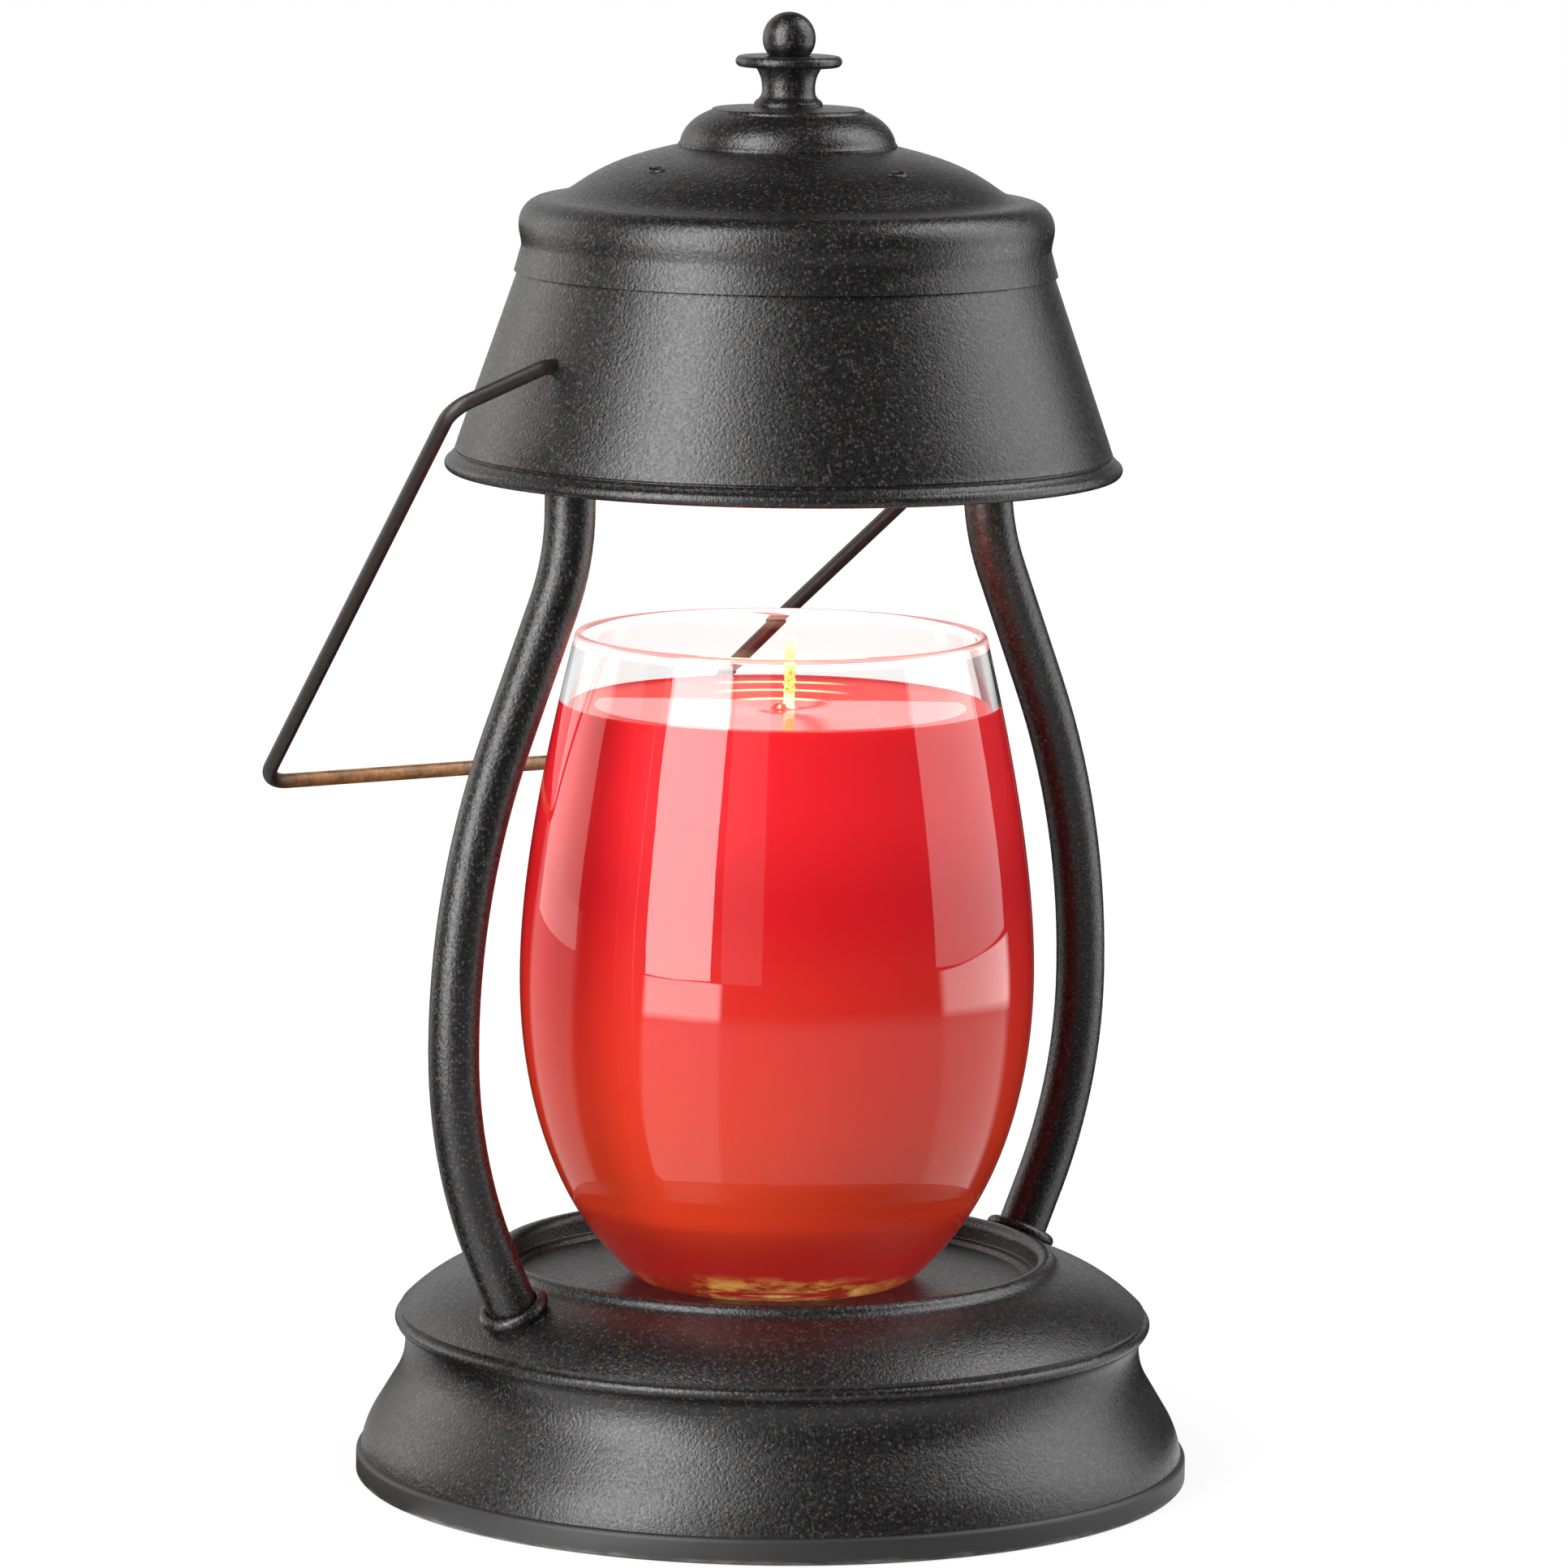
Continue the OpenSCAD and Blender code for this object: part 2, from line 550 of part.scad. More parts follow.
module lamp_bridge() color("silver") difference() {
    rotate([90, 0, 0]) linear_extrude(height = bridge_w, center = true) polygon(strip(bridge_line, bridge_t));
    for (s = [-1, 1]) {
        translate([s * arm_top_r, 0, arm_top_z - 1]) cylinder(h = bridge_t + 2, r = top_screw_r + 0.2);
        translate([s * holder_screw_at, 0, bridge_z - bridge_t - 1])
            cylinder(h = bridge_t + 2, r = holder_screw_r + screw_gap);
    }
    translate([0, 0, bridge_z - bridge_t - 1]) cylinder(h = bridge_t + 2, r = stud_r + 0.1);
    pivot_hole();
}

module pivot_hole() translate([-lip_r, 0, pivot_z]) rotate([0, 90, 0])
    cylinder(h = 2 * lip_r, r = wire_r + pivot_gap);

// Pan-head screw through the bridge's foot down into the arm's plug
module bridge_screw(s) color("silver") translate([s * arm_top_r, 0, arm_top_z + bridge_t])
    rotate([180, 0, 0]) screw(top_screw_r, top_screw_r + 1.8, 2.4, bridge_t + plug_h - 1);

// Half of the holder's mouth: a curved slot for a pin's neck, a wider one above it for the
// head, and the round hole at the slot's end where the pin goes in
module pin_way() {
    head = pin_head_r + slot_gap;
    curved_slot(pin_neck_r + slot_gap, -1, pin_ledge + 2);
    curved_slot(head, pin_ledge, pin_head_h + 1.4);
    rotate(-twist) translate([pin_pitch, 0, -1]) cylinder(h = pin_ledge + 2, r = head + 0.1);
}

// A slot of half width r along the circle on which the pins stand
module curved_slot(r, z, h) translate([0, 0, z]) linear_extrude(height = h) polygon(concat(
    rest(arc([0, 0], pin_pitch + r, -twist, 0, 4)),
    rest(arc([pin_pitch, 0], r, 0, 180, 12)),
    rest(arc([0, 0], pin_pitch - r, 0, -twist, 4)),
    rest(arc(pin_pitch * [cos(twist), -sin(twist)], r, 180 - twist, 360 - twist, 12))));

module lamp_holder() color("ivory") translate([0, 0, holder_z]) difference() {
    spin([[0, 0], [holder_r - 0.8, 0], [holder_r, 0.8], [holder_r, holder_h], [0, holder_h]]);
    for (a = [90, 270]) rotate(a) pin_way();
    for (s = [-1, 1]) translate([s * holder_screw_at, 0, -1]) {
        cylinder(h = holder_h + 2, r = holder_screw_r + 0.15);
        cylinder(h = 3.4, r = 3.0);
    }
    translate([0, 0, holder_h - 1.5]) cylinder(h = 2, r = stud_r + 3);
}

module holder_screw(s) color("silver") translate([s * holder_screw_at, 0, holder_z + 2.4])
    screw(holder_screw_r, 2.7, 1.9, holder_h - 2.4 + bridge_t + 1.5);

// ---- Shade ----

cone_line = concat(
    arc([shade_rim_r - shade_roll, shade_z + shade_roll], shade_roll, -215, 50, 14),
    rest(bezier([shade_rim_r - shade_roll, shade_z + shade_roll] + shade_roll * [cos(50), sin(50)],
        [cone_foot_r + 0.95, shade_z + 3.4], [cone_foot_r + 0.3, cone_foot_z - 1.2],
        [cone_foot_r, cone_foot_z], 6)),
    [[cone_r(cone_top_z), cone_top_z], [cone_r(cone_top_z) - ledge_w, cone_top_z]]);

module shade_cone() color("dimgray") difference() {
    spin(concat(cone_line, flip([for (p = side(cone_line, -shade_sheet))
        if (p[1] > shade_z + 2 * shade_roll + 0.6) p])));
    pivot_hole();
}

valley = [band_r - shoulder_bend, shoulder_z + shoulder_bend];
crown = valley + [-6.5, 2.6];
roof_line = concat(
    [[roof_edge_r, seam_z]],
    bezier([roof_edge_r - roof_pinch, pinch_z], [roof_edge_r - roof_pinch, pinch_z + 1.5],
        [band_r, shoulder_z - 2], [band_r, shoulder_z], 6),
    rest(arc([band_r - shoulder_bend, shoulder_z], shoulder_bend, 0, 90, 8)),
    rest(bezier(valley, valley - [2.5, 0], crown + [2.1, -1.5], crown, 6)),
    rest(bezier(crown, crown + [-6.1, 4.3], [cap_r + 9.4, roof_top_z - 2], [cap_r + 0.6, roof_top_z], 10)),
    [[stud_r + 0.1, roof_top_z]]);

module shade_roof() color("dimgray") difference() {
    spin(concat(roof_line, flip(side(roof_line, -shade_sheet))));
    for (a = [0 : 90 : 270]) rotate(a) translate([vent_r, 0, seam_z]) vent();
}

// A slit with round ends, square to the radius
module vent() {
    half = vent_l / 2 - 0.5;
    translate([-0.5, -half, 0]) cube([1, 2 * half, roof_rise]);
    for (s = [-1, 1]) translate([0, s * half, 0]) cylinder(h = roof_rise, r = 0.5);
}

module roof_sleeve() color("silver") translate([0, 0, bridge_z]) difference() {
    cylinder(h = sleeve_h, r = stud_r + 2);
    translate([0, 0, -1]) cylinder(h = sleeve_h + 2, r = stud_r + 0.1);
}

cap_bulge = bezier([cap_r - 0.1, roof_top_z + 1], [cap_r - 0.6, roof_top_z + 0.46 * cap_h],
    [cap_top_r + 3, roof_top_z + 0.72 * cap_h], [cap_top_r + 0.3, cap_top_z - 1.3], 10);

module chimney_cap() color("dimgray") {
    inside = side(concat(cap_bulge, [[cap_top_r, cap_top_z - 1.1]]), -cap_sheet);
    spin(concat([[cap_r + 0.3, roof_top_z], [cap_r + 0.3, roof_top_z + 0.5]], cap_bulge,
        [[cap_top_r + 0.05, cap_top_z - 1.5]],
        arc([cap_top_r - 1, cap_top_z - 1.4], 0.85, 10, 80, 4),
        [[spool_r + 0.3, cap_top_z], [stud_r + 0.1, cap_top_z], [stud_r + 0.1, cap_top_z - cap_sheet],
         [spool_r, cap_top_z - cap_sheet]],
        flip(inside), [[cap_r + 0.3 - cap_sheet, roof_top_z]]));
}

module finial_spool() color("dimgray") {
    waist_z = cap_top_z + 0.46 * spool_h;
    top_z = cap_top_z + spool_h;
    spin(concat([[stud_r + 0.1, cap_top_z], [spool_r, cap_top_z], [spool_r, cap_top_z + 0.6]],
        bezier([spool_r - 0.3, cap_top_z + 1], [spool_waist_r, cap_top_z + 1.8],
            [spool_waist_r, waist_z - 1], [spool_waist_r, waist_z], 6),
        rest(bezier([spool_waist_r, waist_z], [spool_waist_r, waist_z + 2],
            [spool_r - 0.9, top_z - 1.2], [spool_r - 0.2, top_z], 6)),
        [[stud_r + 0.1, top_z]]));
}

disc_z = cap_top_z + spool_h;
ball_z = disc_z + disc_t + 0.65 * ball_r;

module finial_disc() color("dimgray")
    spin(concat([[stud_r + 0.1, disc_z]],
        arc([disc_r - disc_t / 2, disc_z + disc_t / 2], disc_t / 2, -90, 90, 8),
        [[stud_r + 0.1, disc_z + disc_t]]));

module finial_ball() color("dimgray") difference() {
    translate([0, 0, ball_z]) sphere(r = ball_r);
    translate([0, 0, ball_z - 2 * ball_r]) cylinder(h = 2 * ball_r - (ball_z - disc_z - disc_t), r = ball_r);
    translate([0, 0, disc_z]) cylinder(h = ball_z + 1.5 - disc_z, r = stud_r + screw_gap);
}

module finial_stud() color("silver") translate([0, 0, bridge_z - bridge_t])
    screw(stud_r, stud_r + 2.4, 1.2, ball_z + 1 - bridge_z + bridge_t);

// ---- Bail ----

bail_half_line = [[bail_end_x, 0], [pivot_x, 0], [bail_half_w, bail_bend_at], [crossbar_half, bail_reach]];
bail_half_bends = [bail_pivot_bend, bail_wide_bend, bail_corner_bend];

module bail_handle() color("saddlebrown") translate([0, 0, pivot_z]) rotate([bail_angle - 90, 0, 0])
    bent_tube(concat(bail_half_line, flip([for (p = bail_half_line) [-p[0], p[1]]])),
        concat(bail_half_bends, flip(bail_half_bends)), wire_r);

// ---- Reflector lamp ----

lamp_line = concat([[lamp_r, 0], [lamp_r, 2.6]],
    bezier([lamp_r - 0.9, 3.4], [lamp_r - 2.4, 0.455 * lamp_neck], [0.62 * lamp_r, 0.73 * lamp_neck],
        [lamp_neck_r, lamp_neck - 2], 12));

module lamp_reflector() color("lightgray") translate([0, 0, lamp_z])
    spin(concat(lamp_line, [[lamp_neck_r, lamp_neck], [lamp_neck_r - 1.4, lamp_neck],
            [lamp_neck_r - 1.4, lamp_neck - 1.5]],
        flip([for (p = side(lamp_line, -1.4)) if (p[1] > 4 && p[1] < lamp_neck - 2) p]),
        [[lamp_r - 2.6, 2.2], [lamp_r - 1.3, 2.2], [lamp_r - 1.3, 0]]));

module lamp_lens() color("lightblue") translate([0, 0, lamp_z + 0.4])
    cylinder(h = 1.7, r = lamp_r - 1.4);

module lamp_capsule() color("white") translate([0, 0, lamp_z])
    spin(concat([[0, lamp_neck], [3, lamp_neck], [capsule_r, lamp_neck - 5]],
        arc([0, lamp_neck - 17], capsule_r, 0, -90, 8)));

module lamp_base() color("ivory") translate([0, 0, lamp_z + lamp_neck]) difference() {
    intersection() {
        spin([[0, 0], [lamp_neck_r, 0], [lamp_neck_r + 0.8, 1], [lamp_neck_r + 0.8, lamp_base_h - 2],
            [lamp_neck_r - 0.6, lamp_base_h], [0, lamp_base_h]]);
        translate([-12, -9.2, 0]) cube([24, 18.4, lamp_base_h]);
    }
    for (s = [-1, 1]) translate([0, s * pin_pitch, lamp_base_h - 3])
        cylinder(h = 4, r = pin_neck_r + screw_gap);
}

module lamp_pin(s) color("silver") translate([0, s * pin_pitch, lamp_z + lamp_len]) {
    up = holder_gap + pin_ledge + 0.1;
    translate([0, 0, -2.5]) cylinder(h = up + 2.6, r = pin_neck_r);
    translate([0, 0, up]) cylinder(h = pin_head_h, r = pin_head_r);
}

// ---- Candle ----

module candle_jar() color("lightcyan") translate([0, 0, dish_z])
    spin(concat([[0, 0.6], [jar_foot_r - 4, 0.4], [jar_foot_r - 2, 0], [jar_foot_r, 0]], jar_out,
        rest(arc([jar_rim_r - jar_wall / 2, jar_h - jar_wall / 2], jar_wall / 2, 0, 180, 8)),
        flip([for (p = jar_in) if (p[1] < jar_h - jar_wall / 2 - 0.3) p])));

module candle_wax() color("red") translate([0, 0, dish_z]) difference() {
    intersection() {
        spin(concat([for (p = jar_in) [max(0, p[0] - wax_gap), p[1] + (p[1] < jar_heel ? wax_gap : 0)]],
            [[0, jar_h]]));
        cylinder(h = wax_h, r = jar_r);
    }
    translate([0, 0, wax_h - pool_depth]) cylinder(h = pool_depth + eps, r1 = wick_r, r2 = pool_r);
    cylinder(h = jar_h, r = wick_r);
    cylinder(h = jar_base + 0.5, r = tab_r);
    tab_solid();
}

module candle_wick() color("khaki") translate([0, 0, dish_z + jar_base + 1])
    cylinder(h = wax_h + wick_up - jar_base - 1, r = wick_r);

module tab_solid() translate([0, 0, jar_base + 3 * wax_gap]) {
    cylinder(h = 0.5, r = tab_r);
    cylinder(h = 4, r = wick_r + 0.8);
}

module wick_tab() color("silver") translate([0, 0, dish_z]) difference() {
    tab_solid();
    translate([0, 0, jar_base + 1]) cylinder(h = 10, r = wick_r);
}

base_ring();
bottom_cover();
felt_pad();
cover_screw(0);  // cover_screw_1
cover_screw(1);  // cover_screw_2
cover_screw(2);  // cover_screw_3
cover_screw(3);  // cover_screw_4
ballast_weight();
base_skirt();
base_pan();
cord_grommet();
arm(-1);  // left_arm
arm(1);  // right_arm
foot_collar(-1);  // left_foot_collar
foot_collar(1);  // right_foot_collar
foot_washer(-1);  // left_foot_washer
foot_washer(1);  // right_foot_washer
foot_bolt(-1);  // left_foot_bolt
foot_bolt(1);  // right_foot_bolt
lamp_bridge();
bridge_screw(-1);  // left_bridge_screw
bridge_screw(1);  // right_bridge_screw
lamp_holder();
holder_screw(-1);  // left_holder_screw
holder_screw(1);  // right_holder_screw
shade_cone();
shade_roof();
roof_sleeve();
chimney_cap();
finial_stud();
finial_spool();
finial_disc();
finial_ball();
bail_handle();
lamp_reflector();
lamp_lens();
lamp_capsule();
lamp_base();
lamp_pin(-1);  // lamp_pin_1
lamp_pin(1);  // lamp_pin_2
candle_jar();
candle_wax();
candle_wick();
wick_tab();
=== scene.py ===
import math

import bmesh
import bpy
from mathutils import Matrix, Vector


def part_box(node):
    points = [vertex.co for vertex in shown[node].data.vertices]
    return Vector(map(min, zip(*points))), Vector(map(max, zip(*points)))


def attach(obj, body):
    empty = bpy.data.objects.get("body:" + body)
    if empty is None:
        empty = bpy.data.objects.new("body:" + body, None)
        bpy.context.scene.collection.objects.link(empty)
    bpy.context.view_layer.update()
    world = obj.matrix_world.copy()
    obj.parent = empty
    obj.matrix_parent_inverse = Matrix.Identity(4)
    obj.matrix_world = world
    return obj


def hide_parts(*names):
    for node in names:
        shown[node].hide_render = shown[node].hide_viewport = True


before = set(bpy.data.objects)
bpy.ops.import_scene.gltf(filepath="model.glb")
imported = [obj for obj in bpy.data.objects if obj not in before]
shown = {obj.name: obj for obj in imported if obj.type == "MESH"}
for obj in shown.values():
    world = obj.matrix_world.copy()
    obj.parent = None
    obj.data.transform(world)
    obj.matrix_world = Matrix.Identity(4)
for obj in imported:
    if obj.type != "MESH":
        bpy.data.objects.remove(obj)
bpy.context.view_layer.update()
scene = bpy.context.scene

# ---- Camera ----
# A long lens 1.8 m away, 10 cm higher than the finial and 40 degrees round to the left of the
# lamp's front. It is tipped down by 8 degrees, and its picture leans by a little under one.
cam = bpy.data.objects.new("camera", bpy.data.cameras.new("camera"))
scene.collection.objects.link(cam)
scene.camera = cam
sensor_mm, frame_px, focal_px = 36, 1932, 10600
cam.data.sensor_width = sensor_mm
cam.data.lens = focal_px * sensor_mm / frame_px
cam.data.clip_start = 0.05
turn, tip, roll = math.radians(-40), math.radians(8.242), 0.0133
across = Vector((math.cos(turn), math.sin(turn), 0))
ahead = Vector((-math.sin(turn) * math.cos(tip), math.cos(turn) * math.cos(tip), -math.sin(tip)))
distance, height, shift = 1.7791, 0.4042, 0.00097
place = Vector((distance * math.sin(turn), -distance * math.cos(turn), height)) + shift * across
above = across.cross(ahead)
cam.matrix_world = (
    Matrix.Translation(place)
    @ Matrix((across, above, -ahead)).transposed().to_4x4()
    @ Matrix.Rotation(roll, 4, "Z")
)

# ---- Studio ----
# A white sweep with tall soft boxes at the left and the right, and a low one at the left rear.
# The side of the room behind the camera is dark, which is what gives black paint its depth.


def add(tree, kind, inputs=(), **settings):
    """Adds a node, sets its settings, and sets or links its inputs by name or number."""
    n = tree.nodes.new(kind)
    for name, value in settings.items():
        setattr(n, name, value)
    for key, value in dict(inputs).items():
        if isinstance(value, bpy.types.NodeSocket):
            tree.links.new(value, n.inputs[key])
        else:
            n.inputs[key].default_value = value
    return n


def colour(code):
    """An sRGB hex colour as linear RGBA."""
    parts = [int(code[i : i + 2], 16) / 255 for i in (1, 3, 5)]
    return (*[c / 12.92 if c <= 0.04045 else ((c + 0.055) / 1.055) ** 2.4 for c in parts], 1)


to_camera = Vector((place.x, place.y, 0)).normalized()


def towards(degrees):
    """The level direction at a bearing, in degrees to the right of the camera."""
    b = math.radians(degrees)
    return math.cos(b) * to_camera + math.sin(b) * across


# The dark side lies a little to the right of the camera
to_dark = towards(26).normalized()
world = bpy.data.worlds.new("studio")
scene.world = world
world.use_nodes = True
room = world.node_tree
room.nodes.clear()
ray = add(room, "ShaderNodeLightPath")
heading = add(room, "ShaderNodeTexCoord")
facing = add(
    room, "ShaderNodeVectorMath",
    {0: heading.outputs["Generated"], 1: tuple(to_dark)}, operation="DOT_PRODUCT",
)
behind = add(
    room, "ShaderNodeMapRange",
    {
        "Value": facing.outputs["Value"],
        "From Min": -0.60, "From Max": -0.84, "To Min": 0.02, "To Max": 0.7,
    },
)
plain = (1, 1, 1, 1)
in_mirrors = add(room, "ShaderNodeBackground", {"Color": plain, "Strength": behind.outputs[0]})
fill = add(room, "ShaderNodeBackground", {"Color": plain, "Strength": 0.13})
white = add(room, "ShaderNodeBackground", {"Color": plain, "Strength": 1.0})
lit = add(
    room, "ShaderNodeMixShader",
    {0: ray.outputs["Is Glossy Ray"], 1: fill.outputs[0], 2: in_mirrors.outputs[0]},
)
seen = add(
    room, "ShaderNodeMath",
    {0: ray.outputs["Is Camera Ray"], 1: ray.outputs["Is Transmission Ray"]}, operation="MAXIMUM",
)
sky = add(room, "ShaderNodeMixShader", {0: seen.outputs[0], 1: lit.outputs[0], 2: white.outputs[0]})
add(room, "ShaderNodeOutputWorld", {"Surface": sky.outputs[0]})


box_distance = 1.25


def soft_box(name, bearing, height, size, watts, aim=0.15, fade=None, tint=(1, 1, 1)):
    """A soft box at a bearing to the right of the camera, in degrees, turned to the lamp.

    Where fade is given, the box's brightness runs from its first share at one long edge to its
    second at the other.
    """
    at = box_distance * towards(bearing) + Vector((0, 0, height))
    light = bpy.data.objects.new(name, bpy.data.lights.new(name, "AREA"))
    light.data.shape = "RECTANGLE"
    light.data.size, light.data.size_y = size
    light.data.energy = watts
    light.data.color = tint
    light.location = at
    light.rotation_euler = (Vector((0, 0, aim)) - at).to_track_quat("-Z", "Y").to_euler()
    if fade is not None:
        light.data.use_nodes = True
        face = light.data.node_tree
        glow = face.nodes["Emission"]
        spot = add(face, "ShaderNodeNewGeometry")
        over = add(face, "ShaderNodeSeparateXYZ", {0: spot.outputs["Parametric"]})
        shares = {"Value": over.outputs["Y"], "To Min": fade[0], "To Max": fade[1]}
        dim = add(face, "ShaderNodeMapRange", shares)
        face.links.new(dim.outputs[0], glow.inputs["Strength"])
    scene.collection.objects.link(light)


soft_box("soft_box_left", bearing=-44, height=0.85, size=(0.78, 2.3), watts=47.0, aim=0.6)
soft_box("spill_of_left_box", bearing=-15, height=0.85, size=(0.44, 2.3), watts=2.2, aim=0.6)
soft_box(
    "soft_box_right", bearing=98, height=0.85, size=(1.25, 2.3), watts=50.0, aim=0.6,
    fade=(0.2, 1.0),
)
soft_box(
    "soft_box_rear", bearing=-118, height=0.30, size=(0.80, 1.25), watts=4.5,
    tint=(1.0, 0.91, 0.86),
)

# The floor is the foot of the sweep. It shows white to the camera and through the glass, but for
# the soft shadow round the base, and mirrors see it as a sheet lit in front of each soft box.
floor_mesh = bpy.data.meshes.new("floor")
form = bmesh.new()
floor_r = 4
bmesh.ops.create_circle(form, cap_ends=True, radius=floor_r, segments=96)
form.to_mesh(floor_mesh)
form.free()
floor = bpy.data.objects.new("floor", floor_mesh)
floor.location.z = -0.0002
scene.collection.objects.link(floor)
sweep = bpy.data.materials.new("white paper sweep")
sweep.use_nodes = True
paper = sweep.node_tree
paper.nodes.clear()
ray = add(paper, "ShaderNodeLightPath")
spot = add(paper, "ShaderNodeNewGeometry")
reach = add(paper, "ShaderNodeVectorMath", {0: spot.outputs["Position"]}, operation="LENGTH")
edge = add(
    paper, "ShaderNodeMapRange",
    {
        "Value": reach.outputs["Value"],
        "From Min": 0.50, "From Max": 0.66, "To Min": 0.66, "To Max": 0.06,
    },
)
# In mirrors the paper is lit on the near side alone, and brightest in front of a soft box, where
# it carries on the box's strip in the glass down to the paper's own edge
bearing = add(paper, "ShaderNodeVectorMath", {0: spot.outputs["Position"]}, operation="NORMALIZE")


def lit_towards(degrees, low, high, gain):
    """The paper's extra light round a bearing, between two cosines of the angle off it."""
    off = add(
        paper, "ShaderNodeVectorMath",
        {0: bearing.outputs[0], 1: tuple(towards(degrees))}, operation="DOT_PRODUCT",
    )
    return add(
        paper, "ShaderNodeMapRange",
        {
            "Value": off.outputs["Value"],
            "From Min": low, "From Max": high, "To Min": 0.0, "To Max": gain,
        },
        interpolation_type="SMOOTHSTEP",
    ).outputs[0]


near_side = add(
    paper, "ShaderNodeMath",
    {0: edge.outputs[0], 1: lit_towards(30, -0.04, 0.04, 1.0)}, operation="MULTIPLY",
)
beyond = add(
    paper, "ShaderNodeMapRange",
    {
        "Value": reach.outputs["Value"],
        "From Min": 0.56, "From Max": 0.64, "To Min": 1.0, "To Max": 9.0,
    },
)
# A soft box doesn't hide what is behind it, so the paper goes dark where it passes under one
under = add(
    paper, "ShaderNodeMapRange",
    {
        "Value": reach.outputs["Value"],
        "From Min": 1.36, "From Max": 1.40, "To Min": 1.0, "To Max": 0.0,
    },
)
strip = add(
    paper, "ShaderNodeMath", {0: beyond.outputs[0], 1: under.outputs[0]}, operation="MULTIPLY"
)
left_strip = add(
    paper, "ShaderNodeMath",
    {0: lit_towards(-41.5, 0.944, 0.962, 0.75), 1: strip.outputs[0]}, operation="MULTIPLY",
)
right_strip = add(
    paper, "ShaderNodeMath",
    {0: lit_towards(100, 0.90, 0.94, 0.4), 1: strip.outputs[0]}, operation="MULTIPLY",
)
strips = add(
    paper, "ShaderNodeMath", {0: left_strip.outputs[0], 1: right_strip.outputs[0]}, operation="ADD"
)
extra = add(
    paper, "ShaderNodeMath",
    {0: strips.outputs[0], 1: lit_towards(-120, 0.92, 0.96, 0.6)}, operation="ADD",
)
sheet = add(
    paper, "ShaderNodeMath", {0: near_side.outputs[0], 1: extra.outputs[0]}, operation="ADD"
)
matt = add(paper, "ShaderNodeBsdfDiffuse", {"Color": (0.8, 0.8, 0.8, 1)})
glow = add(paper, "ShaderNodeEmission", {"Color": plain, "Strength": 1.05})
mirrored = add(paper, "ShaderNodeEmission", {"Color": plain, "Strength": sheet.outputs[0]})
to_eye = add(
    paper, "ShaderNodeMath",
    {0: ray.outputs["Is Camera Ray"], 1: ray.outputs["Is Transmission Ray"]}, operation="MAXIMUM",
)
away = add(
    paper, "ShaderNodeMapRange",
    {
        "Value": reach.outputs["Value"],
        "From Min": 0.09, "From Max": 0.17, "To Min": 0.82, "To Max": 1.0,
    },
)
part = add(
    paper, "ShaderNodeMath", {0: to_eye.outputs[0], 1: away.outputs[0]}, operation="MULTIPLY"
)
direct = add(
    paper, "ShaderNodeMixShader", {0: part.outputs[0], 1: matt.outputs[0], 2: glow.outputs[0]}
)
bounced = add(
    paper, "ShaderNodeMath",
    {0: ray.outputs["Is Glossy Ray"], 1: ray.outputs["Is Transmission Ray"]},
    operation="SUBTRACT", use_clamp=True,
)
both = add(
    paper, "ShaderNodeMixShader",
    {0: bounced.outputs[0], 1: direct.outputs[0], 2: mirrored.outputs[0]},
)
add(paper, "ShaderNodeOutputMaterial", {"Surface": both.outputs[0]})
floor_mesh.materials.append(sweep)

# ---- Floor ring ----
# A ring moulded in black ABS that the whole lamp stands on. It comes from the mould matt, and
# its foot is scuffed pale where it has been slid about on a table.


def finish(name):
    """A new material with a Principled shader, and where its colour may vary in the part."""
    m = bpy.data.materials.new(name)
    m.use_nodes = True
    tree = m.node_tree
    tree.nodes.clear()
    skin = tree.nodes.new("ShaderNodeBsdfPrincipled")
    add(tree, "ShaderNodeOutputMaterial", {"Surface": skin.outputs[0]})
    at = add(tree, "ShaderNodeTexCoord").outputs["Object"]
    return m, tree, skin, at


# A CAD node comes in facets: those that meet at under 30 degrees are shaded as one smooth face
rounding = bpy.data.node_groups.new("smooth under 30 degrees", "GeometryNodeTree")
rounding.interface.new_socket("Geometry", in_out="INPUT", socket_type="NodeSocketGeometry")
rounding.interface.new_socket("Geometry", in_out="OUTPUT", socket_type="NodeSocketGeometry")
came = rounding.nodes.new("NodeGroupInput")
welded = add(
    rounding, "GeometryNodeMergeByDistance", {"Geometry": came.outputs[0], "Distance": 1e-6}
)
fold = add(rounding, "GeometryNodeInputMeshEdgeAngle")
sharp = add(
    rounding, "FunctionNodeCompare",
    {0: fold.outputs["Unsigned Angle"], 1: math.radians(30)},
    data_type="FLOAT", operation="GREATER_THAN",
)
rounded = add(
    rounding, "GeometryNodeSetShadeSmooth", {"Geometry": welded.outputs[0]}, domain="FACE"
)
rounded.inputs["Shade Smooth"].default_value = True
creased = add(
    rounding, "GeometryNodeSetShadeSmooth",
    {"Geometry": rounded.outputs[0], "Selection": sharp.outputs[0]}, domain="EDGE",
)
creased.inputs["Shade Smooth"].default_value = False
add(rounding, "NodeGroupOutput", {0: creased.outputs[0]})


def dress(material, *names):
    """Gives CAD nodes a finish and smooth faces."""
    for name in names:
        o = shown[name]
        o.data.materials.clear()
        o.data.materials.append(material)
        o.modifiers.new("smooth", "NODES").node_group = rounding


abs_black, tree, skin, at = finish("moulded black ABS")
height = add(tree, "ShaderNodeSeparateXYZ", {0: at}).outputs["Z"]
